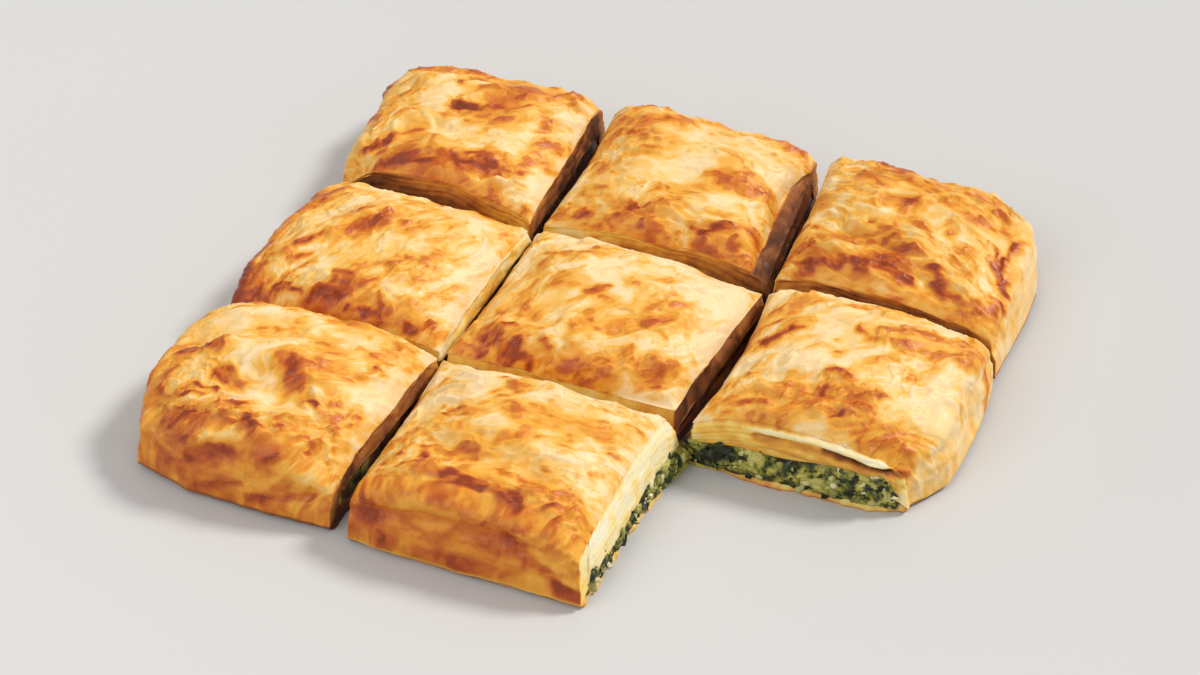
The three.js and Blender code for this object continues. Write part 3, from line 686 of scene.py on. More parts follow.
def finished_piece(name, bm, shape, material, node, sharp_degrees=62):
    """Turns a slab into a named piece: shape moves its vertices and returns their colour attributes."""
    mesh = mesh_of(name, bm)
    positions, attributes = shape(mesh)
    mesh.vertices.foreach_set("co", (positions * MM).astype(np.float32).ravel())
    for label, values in attributes.items():
        layer = mesh.attributes.new(label, "FLOAT", "POINT")
        layer.data.foreach_set("value", np.asarray(values, np.float32))
    mesh.update()
    mesh.shade_smooth()
    mesh.set_sharp_from_angle(angle=math.radians(sharp_degrees))
    mesh.materials.append(material)
    piece = set_down(name, mesh)
    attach(piece, "root")
    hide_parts(node)


# ---------------------------------------------------------------- pastry lids
def blisters_of(part, x, y):
    """Small bubbles in the skin: their height and a 0 to 1 cover, from seeded places."""
    rng = np.random.default_rng(part["seed"] * 101)
    xs = [c[0] for c in part["corners"]]
    ys = [c[1] for c in part["corners"]]
    height = np.zeros(np.shape(x))
    cover = np.zeros(np.shape(x))
    for _ in range(BLISTERS):
        cx, cy = rng.uniform(min(xs), max(xs)), rng.uniform(min(ys), max(ys))
        radius = 1.1 + 4.6 * rng.random() ** 2.2
        stretch = rng.uniform(1.0, 2.0)
        turn = math.radians(rng.normal(8, 24))
        dx, dy = x - cx, y - cy
        along = (dx * math.cos(turn) + dy * math.sin(turn)) / (radius * stretch)
        aside = (-dx * math.sin(turn) + dy * math.cos(turn)) / radius
        shape = np.clip(1 - along**2 - aside**2, 0, 1)
        height += (0.15 + 0.17 * radius) * shape**1.2
        cover = np.maximum(cover, rng.uniform(-0.6, 1.0) * smooth_step(0, 0.6, shape))
    return height, cover


def crackle_of(part, x, y):
    """How strongly the skin has blistered into fine ridges, from 0 to 1."""
    strong = np.zeros(np.shape(x))
    for cx, cy, rx, ry in part.get("crackle", ()):
        strong = np.maximum(strong, np.exp(-((((x - cx) / rx) ** 2 + ((y - cy) / ry) ** 2) ** 1.5)))
    return strong * (0.6 + 0.4 * noise(x / 7, y / 5, part["seed"] + 33))


def laid_flat(u, v, x, y, z):
    """Plan position with the slope down to z laid out flat, so that a pattern keeps its size on the sides."""
    drop = CORNER_TOP + DOME - z
    return x + (2 * u - 1) ** 3 * drop, y + (2 * v - 1) ** 3 * drop


def along_grain(part, x, y):
    """Plan position turned so that its first number runs along the folds of the skin."""
    turn = math.radians(part["grain"])
    return x * math.cos(turn) + y * math.sin(turn), y * math.cos(turn) - x * math.sin(turn)


def torn_steps(levels, sharpness):
    """Sheets with torn edges: a rise at each whole level and a slow fall, and the share of that fall."""
    share = levels - np.floor(levels)
    return smooth_step(0.0, sharpness, share) - share, share


def skin_relief(part, x, y, flat_x, flat_y):
    """Folds, wrinkles, bubbles and torn flakes on the skin, and how much each browns it, with painted
    highlight on their crests and painted shade in the hollows between.
    """
    seed = part["seed"]
    wx = flat_x + 3.0 * noise(flat_x / 21, flat_y / 21, seed + 1) + noise(flat_x / 7, flat_y / 7, seed + 11)
    wy = flat_y + 3.0 * noise(flat_x / 19, flat_y / 19, seed + 2) + noise(flat_x / 6, flat_y / 6, seed + 12)
    gx, gy = along_grain(part, wx, wy)
    lively = smooth_step(-0.35, 0.4, noise(gx / 24, gy / 18, seed + 3))
    swells = rough(gx / 21, gy / 11, 2, seed + 4)
    folds = crests(gx / 30, gy / 10.5, seed + 14)
    wrinkles = crests(gx / 13, gy / 4.8, seed + 5)
    fine = rough(gx / 4.4, gy / 2.4, 2, seed + 6)
    bubbles, cover = blisters_of(part, wx, wy)
    cracked = crackle_of(part, x, y)
    creases = crests(gx / 8, gy / 2.9, seed + 15)
    spots, pale_spots = spots_of(part, gx, gy)
    levels = 2.3 * noise(gx / 26, gy / 12.5, seed + 8) + noise(gx / 9, gy / 4.6, seed + 9)
    leaf_step, leaf_share = torn_steps(levels, 0.05)
    patch_rim, patch = flakes(gx / 10, gy / 5.5, seed + 16)
    flake_rim, flake = flakes(gx / 5.2, gy / 2.9, seed + 17)
    ridge = 1 - smooth_step(0.0, 0.3, flake_rim)
    height = 0.75 * swells + 1.3 * (folds - 0.3) + 1.15 * lively * (wrinkles - 0.25) + 0.16 * fine
    height += (0.2 + 0.4 * lively) * (creases - 0.3) + 0.3 * spots + 0.2 * pale_spots
    torn = smooth_step(0.0, 0.5, noise(gx / 16, gy / 9, seed + 10))
    height += bubbles * (0.4 + 0.7 * lively) + 0.5 * (0.3 + 0.7 * torn) * leaf_step
    height += 0.4 * torn * (patch - 0.5) * smooth_step(0.0, 0.12, patch_rim)
    height += cracked * (0.9 * (flake - 0.5) + 0.7 * ridge + 0.5 * (wrinkles - 0.3))
    for x1, y1, x2, y2, half_width, depth in part["vents"]:
        height -= depth * np.exp(-((line_distance(x, y, x1, y1, x2, y2) / half_width) ** 2))
    # Painted highlight and shade: the raised crests of folds, wrinkles, creases and crackled ridges are made
    # paler, as where they catch the light, and the hollows between them browner.
    tone = 0.05 * swells - 0.10 * (folds - 0.3) + 0.12 * cover * (0.4 + 0.6 * lively)
    tone += 0.03 * fine - 0.12 * lively * (wrinkles - 0.3) - (0.03 + 0.09 * lively) * (creases - 0.3)
    leaf_tone = 0.12 * smooth_step(0.75, 1.0, leaf_share) - 0.12 * np.exp(-leaf_share / 0.09)
    tone += torn * (leaf_tone + 0.14 * (patch - 0.5))
    tone += cracked * (0.5 * (flake - 0.4) - 0.26 * ridge)
    return height, tone, gx, gy


def spots_of(part, gx, gy):
    """Small raised spots that brown, and others that stay pale, each from 0 to 1."""
    specks = rough(gx / 5.8, gy / 3.6, 2, part["seed"] + 21)
    return smooth_step(0.36, 0.6, specks), smooth_step(0.25, 0.6, -specks)


# How brown each kind of mark is at its heart, and the browned halo round it.
BROWNING = {"golden": (0.57, 0.46), "browned": (0.70, 0.54), "scorched": (0.91, 0.62)}
# How much browner the skin is at an outer side, and how far in that reaches.
SIDE_TONE = {"front": (0.19, 14), "left": (0.14, 8), "right": (-0.05, 8), "back": (0.1, 8)}
WALL_BROWN = {"front": 0.8, "left": 0.6, "right": 0.24, "back": 0.5}


def browning_of(part, x, y, tone, gx, gy):
    """How brown the skin is, from 0 for cream to 1 for the darkest spots."""
    seed = part["seed"]
    islands = rough(gx / 18, gy / 11, 3, seed + 20) + 0.35 * noise(x / 44, y / 36, seed + 19)
    spots, pale_spots = spots_of(part, gx, gy)
    for x1, y1, x2, y2, half_width in part["pale"]:
        islands -= 0.5 * (1 - smooth_step(0.4, 1.8, line_distance(x, y, x1, y1, x2, y2) / half_width))
    brown = 0.29 + part.get("bake", 0) + tone + 0.06 * np.maximum(islands, -1)
    brown += 0.16 * smooth_step(-0.2, 0.15, islands) + 0.12 * smooth_step(0.35, 0.6, islands)
    brown += 0.06 * smooth_step(0.8, 1.05, islands)
    brown += (0.18 * spots - 0.10 * pale_spots) * smooth_step(-1.2, -0.3, islands)

    # Marks end raggedly along the grain and are mottled within.
    ragged = 1 + 0.36 * noise(gx / 4.6, gy / 2.2, seed + 22) + 0.25 * noise(gx / 11, gy / 5.2, seed + 23)
    mark_x = x + 1.5 * noise(gx / 6.5, gy / 3.2, seed + 28)
    mark_y = y + 1.5 * noise(gx / 6.5, gy / 3.2, seed + 29)
    mottle = np.tanh(1.5 * rough(gx / 4.2, gy / 2.5, 3, seed + 25))
    for kind, (heart, halo) in BROWNING.items():
        for x1, y1, x2, y2, half_width in part[kind]:
            edge = line_distance(mark_x, mark_y, x1, y1, x2, y2) / half_width * ragged
            around = 0.75 * (1 - smooth_step(0.9, 2.1, edge)) * np.maximum(halo + 0.1 * mottle - brown, 0)
            inside = (1 - smooth_step(0.25, 1.35, edge)) * (heart + 0.2 * mottle - brown)
            brown = brown + np.where(edge < 1.35, np.maximum(inside, around), around)
    return np.where(brown < 0.23, 0.23 - 0.11 * np.tanh((0.23 - brown) / 0.11), brown)


def rim_browning(part, u, v):
    """How much browner or paler the skin gets towards each side."""
    brown = np.zeros(np.shape(u))
    for side, distance in edge_distances(part, u, v).items():
        if is_outer(part, side):
            tone, reach = SIDE_TONE[side]
            brown += tone * np.exp(-((distance / reach) ** 1.5))
        else:
            tone = part.get("rim_tone", {}).get(side, -0.12)
            brown += tone * np.exp(-((distance / (12 if tone < 0 else 7)) ** 1.6))
    return brown


# The lid's outer walls end in a lip that hangs over the bottom crust's rim.
LIP_DROP = 2.6
LIP_OUT = 0.5
LIP_REACH = 4.5
LIP_SHARE = 0.14
# How far down and out a lid's cut edge droops over the filling.
DRAPE = (3.0, 1.0)
# The usual cut tone and shade: darker at the bottom of a cut side, painted shade further down a gap.
CUT_TONE_AND_SHADE = (0.32, 0.62, 0.32, 0.62)
LEAF = 1.9
THINNEST_LID = 1.2
BLISTERS = 90


def leaned(part, u, v, x, y, h):
    """Draws in the top of a cut side that leans."""
    nearness = nearness_of(u, v)
    for side, drawn_in in part.get("lean", {}).items():
        out_x, out_y = OUTWARD[side]
        along = v if out_x else u
        drawn = drawn_in * h * nearness[side] ** 7 * smooth_step(1.0, 0.7, along)
        x, y = x - out_x * drawn, y - out_y * drawn
    return x, y


def lid_shape(part):
    seed = part["seed"]

    def side_marks(side, along, z):
        """What the marks on a side add to its brown and how far they push it out."""
        brown = np.zeros(np.shape(along))
        out = np.zeros(np.shape(along))
        for points, half_width, tone, push in part.get("marks", {}).get(side, ()):
            edge = path_distance(along, z, points) / half_width
            edge = edge * (1 + 0.3 * noise(along / 4, z / 3, seed + 64))
            brown += tone * (1 - smooth_step(0.3, 1.7, edge))
            out += push * np.exp(-(edge**2))
        return brown, out

    def leaves_of_cut(side, share, along, z, below):
        """The cut edges of the pastry's leaves: how far they stand out and how brown they are, with painted
        shade that darkens them further down a gap.
        """
        leaf = 0.8 * noise(along / 17, z / 12, seed + 70) - below / LEAF
        number = np.floor(leaf)
        within = leaf - number
        drift = noise(along / 9 + 9 * number, number, seed + 71)
        above = noise(along / 9 + 9 * (number + 1), number + 1, seed + 71)
        drift = drift + (above - drift) * smooth_step(0.7, 1, within)
        valley = np.exp(-((np.minimum(within, 1 - within) / 0.2) ** 2))
        step = 0.45 * drift - 0.28 * valley + 0.2 * rough(along / 3.4, z / 2.2, 2, seed + 72)
        tones = part.get("cut_tone_and_shade", {}).get(side, CUT_TONE_AND_SHADE)
        upper = tones[0] + (tones[2] - tones[0]) * share
        lower = tones[1] + (tones[3] - tones[1]) * share
        # Painted shade: a cut side gets darker further below its top, down into the gap.
        deep = np.clip(below / 9, 0, 1)
        layer = upper + (lower - upper) * deep + 0.08 * drift + 0.05 * valley
        layer = layer + 0.09 * rough(along / 5, z / 3, 3, seed + 73)
        return step, layer

    def shape(mesh):
        u, v, h, on = shares_of(mesh)
        heights = np.array([c[0] for c in SHOULDER_CURVE])
        insets = np.array([c[1] for c in SHOULDER_CURVE])
        side = np.zeros(len(u), bool)
        for s in on:
            side |= on[s]
        side &= (h > AT_END) & (h < 1 - AT_END)
        inset = np.where(h > 1 - AT_END, TOP_INSET, np.interp(h, heights, insets))
        top_x, top_y = leaned(part, u, v, *plan_point(part, u, v, TOP_INSET), 1.0)
        top = lid_top(part, u, v, top_x, top_y)
        low = lid_bottom(part, u, v)
        smooth_z = low + h * (top - low)
        over_filling = filling_top(part, u, v) + TOUCHING
        lifted = np.clip((smooth_z - over_filling) / (top - over_filling), 0, 1)
        x, y = leaned(part, u, v, *plan_point(part, u, v, inset, LID_SPREAD * (1 - lifted)), h)

        # Marks are laid out from the rim down a side, and the pattern of the skin from the dome down.
        mark_x, mark_y = top_x.copy(), top_y.copy()
        for s, (out_x, out_y) in OUTWARD.items():
            down = np.where(on[s] & side, top - smooth_z, 0)
            mark_x += out_x * down
            mark_y += out_y * down
        flat_x, flat_y = laid_flat(u, v, top_x, top_y, smooth_z)
        relief, tone, gx, gy = skin_relief(part, mark_x, mark_y, flat_x, flat_y)
        brown = browning_of(part, mark_x, mark_y, tone + rim_browning(part, u, v), gx, gy)
        relief += 0.35 * smooth_step(0.5, 0.75, brown)

        # Near a cut the skin rolls down a little, and its relief fades.
        cut_distance = distance_to(part, u, v, outer=False)
        wall_distance = distance_to(part, u, v, outer=True)
        calm = 0.35 + 0.65 * smooth_step(0, 6, cut_distance)
        reach = 4.6 + 1.4 * noise(top_x / 13, top_y / 13, seed + 24)
        roll = 2.3 * np.clip(1 - cut_distance / reach, 0, 1) ** 2
        top = np.maximum(top + relief * calm - roll, low + THINNEST_LID)
        z = low + h * (top - low)

        cut = np.zeros(len(u))
        for s, (out_x, out_y) in OUTWARD.items():
            rim = on[s] & side
            along = (x if out_y else y)[rim]
            zr, hr = z[rim], h[rim]
            marked, pushed = side_marks(s, along, smooth_z[rim])
            if is_outer(part, s):
                wall = 0.45 * relief[rim] + 0.7 * rough(along / 15, zr / 6, 2, seed + 60) + pushed
                wall *= np.sin(math.pi * np.clip(hr, 0, 1)) ** 0.5
                low_wall = 1 - smooth_step(0.5, 0.8, hr)
                streaked = 0.08 * np.tanh(1.5 * rough(along / 9, zr / 2.6, 3, seed + 61))
                brown[rim] += (0.5 * (WALL_BROWN[s] - brown[rim]) + streaked) * low_wall + 0.75 * marked
                step = wall
            else:
                below = ((1 - h) * (top - low))[rim]
                step, layer = leaves_of_cut(s, (u if out_y else v)[rim], along, zr, below)
                softer = 0.55 if "open" in part and part["open"]["side"] == s else 1.0
                at_wall = np.exp(-((wall_distance[rim] / 6) ** 2))
                step = step * softer * (1 - 0.6 * at_wall) + pushed - 0.7 * smooth_step(0.86, 1.0, hr)
                if softer < 1:
                    past_wall = smooth_step(WALL - 2, WALL + 4, wall_distance[rim])
                    step += 1.2 * np.sin(math.pi * np.clip(hr, 0, 1)) * past_wall
                skin_end = smooth_step(0.86, 0.97, hr)
                cut[rim] = 1 - skin_end
                layer = layer + ((0.5 if softer == 1 else 0.28) - layer) * 0.7 * at_wall
                brown[rim] = brown[rim] * skin_end + (layer + marked) * (1 - skin_end)
            x[rim] += out_x * step
            y[rim] += out_y * step
        for s, (out_x, out_y) in OUTWARD.items():
            if is_outer(part, s):
                continue
            hanging = (1 - smooth_step(0, 0.6, h)) * on[s] * smooth_step(WALL - 1, WALL + 4, wall_distance)
            down, out = part.get("drape", {}).get(s, DRAPE)
            z = z - down * hanging * (1 + 0.25 * noise(x / 9 + y / 9, 0.5, seed + 27))
            x = x + out_x * out * hanging
            y = y + out_y * out * hanging
        lip = np.clip(1 - wall_distance / LIP_REACH, 0, 1) * (1 - np.clip(h / LIP_SHARE, 0, 1))
        torn = 1 + 0.25 * noise(x / 8 + y / 8, x / 5 - y / 5, seed + 26)
        z = z - LIP_DROP * lip * torn
        for s, (out_x, out_y) in OUTWARD.items():
            if is_outer(part, s):
                x = x + out_x * LIP_OUT * lip * on[s]
                y = y + out_y * LIP_OUT * lip * on[s]
        cut[h < AT_END] = 1
        brown[h < AT_END] = 0.4 if "open" in part else 0.82
        positions = np.column_stack([x, y, z])
        return positions, {"browning": np.clip(brown, 0, 1), "cut_face": cut}

    return shape


# ---------------------------------------------------------------- filling and bottom crust
# What share of an open cut's spread the filling takes up at each share of its height.
FILLING_SPREAD = ((0.0, 0.35), (0.38, 0.62), (0.75, 0.58), (1.0, 0.45))
FILLING_SAG = 3.2
LOWEST_CRUMB = 1.2
CRUST_EDGE = 2.3
CRUST_LEAN = 4.0
# The inner corner of the missing slice's gap, where the crust has soaked up the filling's juice.
NOTCH = (49.0, -45.0)


def open_nearness(part, u, v, reach):
    """1 at an open cut, falling off to 0 over a reach."""
    if "open" not in part:
        return np.zeros(np.shape(u))
    distance = edge_distances(part, u, v)[part["open"]["side"]]
    return np.clip(1 - distance / reach, 0, 1)


def towards_next(part, u, v):
    """0 at the outer end of an open cut and 1 at the end where the next slice begins."""
    if "open" not in part:
        return np.zeros(np.shape(u))
    return v if part["open"]["side"] == "right" else 1 - u


def filling_place(part, u, v, h):
    """Where the filling's surface lies before its lumps, from shares of the slice and of its height."""
    spread = np.interp(h, [c[0] for c in FILLING_SPREAD], [c[1] for c in FILLING_SPREAD])
    spread = spread + 0.35 * towards_next(part, u, v) ** 3
    x, y = plan_point(part, u, v, 0.0, spread)
    floor = CRUST_BOTTOM + TOUCHING - FILLING_SAG * open_nearness(part, u, v, 7.5)
    return x, y, floor + h * (filling_top(part, u, v) - floor)


def filled_shares(part):
    """The first and last shares of a slice's width and depth that hold filling."""
    width, depth = size_of(part)
    margin = WALL - WALL_SLOPE + TOUCHING
    across = [margin / width if is_outer(part, s) else 0.0 for s in ("left", "right")]
    deep = [margin / depth if is_outer(part, s) else 0.0 for s in ("front", "back")]
    return (across[0], 1 - across[1]), (deep[0], 1 - deep[1])


def filling_shape(part):
    seed = part["seed"]

    def shape(mesh):
        u, v, h, on = shares_of(mesh)
        (low_u, high_u), (low_v, high_v) = filled_shares(part)
        pu, pv = low_u + (high_u - low_u) * u, low_v + (high_v - low_v) * v
        x, y, z = filling_place(part, pu, pv, h)
        # Crust and gap shade is 1 where the filling's cut faces in the closed gaps are coloured brown, partly
        # a baked crust and partly painted shade of the narrow gap; 0 at the open cut and where green bits
        # show.
        crust_and_gap_shade = np.ones(len(u))
        for s, (out_x, out_y) in OUTWARD.items():
            if is_outer(part, s):
                continue
            rim = on[s]
            along = (x if out_y else y)[rim]
            zr = z[rim]
            lump = 0.8 * rough(along / 6, zr / 4.5, 2, seed + 40)
            lump += 0.45 * rough(along / 2.2, zr / 1.8, 2, seed + 42)
            lump += 1.2 * (0.6 - crests(along / 4.2, zr / 3.4, seed + 41))
            step = lump * (0.35 + 0.65 * np.sin(math.pi * h[rim]))
            if "open" in part and part["open"]["side"] == s:
                crust_and_gap_shade[rim] = 0.0
            else:
                step = 0.45 * step - 0.8
            x[rim] += out_x * step
            y[rim] += out_y * step
        for x1, y1, x2, y2 in part.get("green_bits", ()):
            near = 1 - smooth_step(2.5, 7, line_distance(x, y, x1, y1, x2, y2))
            patchy = smooth_step(-0.4, 0.2, noise(x / 5 + y / 5, z / 4, seed + 43))
            crust_and_gap_shade = np.minimum(crust_and_gap_shade, 1 - 0.8 * near * patchy)
        x = x + spill_at(part, x, y)
        return np.column_stack([x, y, z]), {"crust_and_gap_shade": crust_and_gap_shade}

    return shape


def turned(rng, place, size, facing):
    """A place, turned roughly to face a way, spun at random and stretched to a size, as a matrix."""
    lean = Vector(facing) + Vector(rng.uniform(-0.8, 0.8, 3))
    spin = Matrix.Rotation(rng.uniform(0, math.tau), 4, "Z")
    faced = lean.to_track_quat("Z", "Y").to_matrix().to_4x4()
    return Matrix.Translation(place) @ faced @ spin @ Matrix.Diagonal((*size, 1))


def ball_mesh():
    """A ball of 24 faces, to be made into crumbs."""
    bm = bmesh.new()
    bmesh.ops.create_cube(bm, size=1.0)
    bmesh.ops.subdivide_edges(bm, edges=bm.edges, cuts=1, use_grid_fill=True)
    for vert in bm.verts:
        vert.co.normalize()
    return mesh_of("crumb", bm)


def leaf_mesh():
    """A thin square of leaf, to be made into scraps."""
    bm = bmesh.new()
    bmesh.ops.create_grid(bm, x_segments=3, y_segments=2, size=0.5)
    bmesh.ops.solidify(bm, geom=bm.faces, thickness=0.16)
    bmesh.ops.recalc_face_normals(bm, faces=bm.faces)
    return mesh_of("scrap", bm)


def as_curd(verts, rng):
    """Makes a ball lumpy, and says how large it is each way."""
    for vert in verts:
        vert.co *= rng.uniform(0.7, 1.2)
    radius = 0.9 + 1.5 * rng.random() ** 1.5
    return radius * rng.uniform(1.0, 1.8), radius, radius * rng.uniform(0.5, 0.8)


def as_scrap(verts, rng):
    """Crumples a square of leaf, and says how large it is each way."""
    curl, lean = rng.uniform(-1.2, 1.2), rng.uniform(-0.8, 0.8)
    for vert in verts:
        x, y, z = vert.co
        vert.co.z = z + curl * x**2 + lean * x * y
        vert.co.y = y * (1 - 1.4 * x**2)
    length = rng.uniform(3.0, 6.6)
    return length, length * rng.uniform(0.4, 0.7), 2.6


def strewn_on_cuts(name, template, as_one, count, seed, material, sink):
    """Small bits set into the filling at the open cuts, joined to one piece."""
    rng = np.random.default_rng(seed)
    bm = bmesh.new()
    tints = []
    for part in SLICES:
        if "open" not in part:
            continue
        (low_u, high_u), (low_v, high_v) = filled_shares(part)
        side = part["open"]["side"]
        out_x, out_y = OUTWARD[side]
        for _ in range(count):
            share, h = rng.uniform(0.01, 0.99), rng.uniform(0.08, 0.95)
            u = np.float64(1.0 if side == "right" else low_u + (high_u - low_u) * share)
            v = np.float64(0.0 if side == "front" else low_v + (high_v - low_v) * share)
            x, y, z = filling_place(part, u, v, h)
            x = x + spill_at(part, x, y)
            out = rng.uniform(-sink, 0.1)
            first = len(bm.verts)
            bm.from_mesh(template)
            bm.verts.ensure_lookup_table()
            verts = bm.verts[first:]
            size = as_one(verts, rng)
            place = Vector((float(x + out_x * out), float(y + out_y * out), float(z)))
            bmesh.ops.transform(bm, matrix=turned(rng, place, size, (out_x, out_y, 0)), verts=verts)
            for vert in verts:
                vert.co.z = max(vert.co.z, LOWEST_CRUMB)
            tints.append(rng.random())
    bmesh.ops.scale(bm, vec=(MM, MM, MM), verts=bm.verts)
    mesh = mesh_of(name, bm)
    shade = mesh.attributes.new("shade", "FLOAT", "POINT")
    shade.data.foreach_set("value", np.repeat(tints, len(template.vertices)).astype(np.float32))
    mesh.shade_smooth()
    mesh.materials.append(material)
    piece = set_down(name, mesh)
    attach(piece, "root")


def bottom_shape(part):
    seed = part["seed"]

    def shape(mesh):
        u, v, h, on = shares_of(mesh)
        opened = towards_next(part, u, v)
        spread = np.interp(h, (0, 0.4, 1), (0.45, 0.6, 0.3)) + 0.45 * opened**2
        x, y = plan_point(part, u, v, 1.0 + BOTTOM_TUCK * (1 - smooth_step(0, 0.5, h)), spread)
        distances = edge_distances(part, u, v)
        wall_distance = distance_to(part, u, v, outer=True)
        thick = CRUST_BOTTOM - 2.5 * np.clip(1 - wall_distance / 5.6, 0, 1)
        thin = open_nearness(part, u, v, CRUST_LEAN)
        thick = np.minimum(thick, CRUST_BOTTOM + (CRUST_EDGE - CRUST_BOTTOM) * thin)
        z = h * thick
        brown = 0.30 + 0.14 * rough(x / 14, y / 14, 3, seed + 90)
        for s, (out_x, out_y) in OUTWARD.items():
            near = np.exp(-distances[s] / 2.2)
            along = x if out_y else y
            torn = rough(along / 6, h * 1.5, 3, seed + 80)
            if is_outer(part, s):
                step = 0.35 * torn + 0.3 * np.sin(math.pi * h)
                brown += 0.34 * near
            elif "open" in part and s == part["open"]["side"]:
                ragged = rough(along / 9, 0.5, 3, seed + 82)
                step = 0.3 * torn + 1.5 * ragged - 0.3
                brown += near * (-0.1 + 0.4 * smooth_step(0.45, 0.8, ragged) + 0.1 * (1 - h))
                z = z + near * h * 0.7 * noise(along / 6, 0.5, seed + 81)
            else:
                step = 0.7 * torn
                brown += 0.5 * near
            x = x + out_x * step * near
            y = y + out_y * step * near
        x = x + spill_at(part, x, y)
        brown += 0.25 * (1 - h)
        soaked = np.zeros(len(u))
        if "open" in part:
            soaked = np.exp(-((np.hypot(x - NOTCH[0], y - NOTCH[1]) / 13) ** 2))
        return np.column_stack([x, y, z]), {"browning": np.clip(brown, 0, 1), "soaked": soaked}

    return shape


# ---------------------------------------------------------------- materials
def srgb(code):
    """A hex colour as linear red, green and blue."""
    values = [int(code[k : k + 2], 16) / 255 for k in (0, 2, 4)]
    return tuple(c / 12.92 if c <= 0.04045 else ((c + 0.055) / 1.055) ** 2.4 for c in values) + (1.0,)


class Recipe:
    """A material's nodes, added and joined one by one."""

    def __init__(self, name):
        self.material = bpy.data.materials.new(name)
        self.material.use_nodes = True
        self.nodes = self.material.node_tree.nodes
        self.links = self.material.node_tree.links
        self.shader = self.nodes["Principled BSDF"]
        self.place = self.node("ShaderNodeTexCoord").outputs["Object"]

    def node(self, kind, **settings):
        made = self.nodes.new(kind)
        for key, value in settings.items():
            setattr(made, key, value)
        return made

    def attribute(self, label):
        return self.node("ShaderNodeAttribute", attribute_name=label).outputs["Fac"]

    def put(self, socket, value):
        if isinstance(value, bpy.types.NodeSocket):
            self.links.new(value, socket)
        else:
            socket.default_value = value

    def math(self, operation, a, b, clamp=False):
        made = self.node("ShaderNodeMath", operation=operation, use_clamp=clamp)
        self.put(made.inputs[0], a)
        self.put(made.inputs[1], b)
        return made.outputs[0]

    def swayed(self, value, noise, amount, clamp=False):
        """A value moved up and down by noise."""
        sway = self.math("MULTIPLY", self.math("SUBTRACT", noise, 0.5), amount)
        return self.math("ADD", value, sway, clamp)

    def stretched(self, scale):
        made = self.node("ShaderNodeMapping")
        self.links.new(self.place, made.inputs["Vector"])
        made.inputs["Scale"].default_value = scale
        return made.outputs["Vector"]

    def noise(self, scale, detail, roughness, where=None, distortion=0.0):
        made = self.node("ShaderNodeTexNoise")
        self.links.new(where or self.place, made.inputs["Vector"])
        made.inputs["Scale"].default_value = scale
        made.inputs["Detail"].default_value = detail
        made.inputs["Roughness"].default_value = roughness
        made.inputs["Distortion"].default_value = distortion
        return made.outputs["Fac"]

    def ramp(self, value, stops):
        made = self.node("ShaderNodeValToRGB")
        elements = made.color_ramp.elements
        while len(elements) < len(stops):
            elements.new(0.5)
        for element, (position, code) in zip(elements, stops):
            element.position = position
            element.color = srgb(code) if isinstance(code, str) else (code, code, code, 1)
        self.put(made.inputs["Fac"], value)
        return made.outputs["Color"]

    def mix(self, share, a, b):
        made = self.node("ShaderNodeMix", data_type="RGBA")
        self.put(made.inputs[0], share)
        self.put(made.inputs[6], a)
        self.put(made.inputs[7], b)
        return made.outputs[2]

    def bump(self, height, strength, distance, under=None):
        made = self.node("ShaderNodeBump")
        made.inputs["Strength"].default_value = strength
        made.inputs["Distance"].default_value = distance
        self.links.new(height, made.inputs["Height"])
        if under:
            self.links.new(under, made.inputs["Normal"])
        return made.outputs["Normal"]


def baked_pastry_material():
    made = Recipe("baked_pastry")
    shader = made.shader
    grain = made.stretched((0.85, 1.15, 1.0))
    fine = made.noise(560, 5, 0.62)
    streaks = made.noise(140, 4, 0.6, where=grain, distortion=0.3)
    brown = made.attribute("browning")
    brown = made.swayed(made.swayed(brown, streaks, 0.14), fine, 0.03, clamp=True)
    skin = made.ramp(
        brown,
        (
            (0.0, "F3DEB6"), (0.10, "F1D7AA"), (0.24, "EDC783"), (0.36, "EBB85D"), (0.48, "E7A538"),
            (0.60, "DB8C28"), (0.72, "C9701E"), (0.83, "BB5A1A"), (0.92, "A64716"), (1.0, "8E380F"),
        ),
    )
    # Cut faces, from pale leaves to brown; the darkest end is painted shade deep in the gaps between slices.
    cut_layers_and_shade = made.ramp(
        brown,
        (
            (0.0, "E9E2C6"), (0.15, "F0E0AC"), (0.3, "ECC862"), (0.45, "DDA03C"), (0.6, "BE7A32"),
            (0.75, "925628"),
            (0.88, "623616"), (1.0, "301A0C"),
        ),
    )
    made.links.new(made.mix(made.attribute("cut_face"), skin, cut_layers_and_shade), shader.inputs["Base Color"])
    gloss = made.ramp(brown, ((0.0, 0.52), (0.4, 0.40), (0.75, 0.26), (1.0, 0.3)))
    gloss = made.mix(made.attribute("cut_face"), gloss, (0.75, 0.75, 0.75, 1))
    made.links.new(made.swayed(gloss, fine, 0.3), shader.inputs["Roughness"])
    shader.inputs["Specular IOR Level"].default_value = 0.3
    shader.inputs["Coat Weight"].default_value = 0.06
    shader.inputs["Coat Roughness"].default_value = 0.25
    shader.inputs["Subsurface Weight"].default_value = 0.1
    shader.inputs["Subsurface Radius"].default_value = (1.0, 0.45, 0.15)
    shader.inputs["Subsurface Scale"].default_value = 0.002
    crinkle = made.noise(260, 6, 0.66, where=grain, distortion=0.2)
    normal = made.bump(crinkle, 0.6, 0.001)
    normal = made.bump(made.noise(900, 4, 0.6), 0.4, 0.0003, under=normal)
    made.links.new(normal, shader.inputs["Normal"])
    return made.material


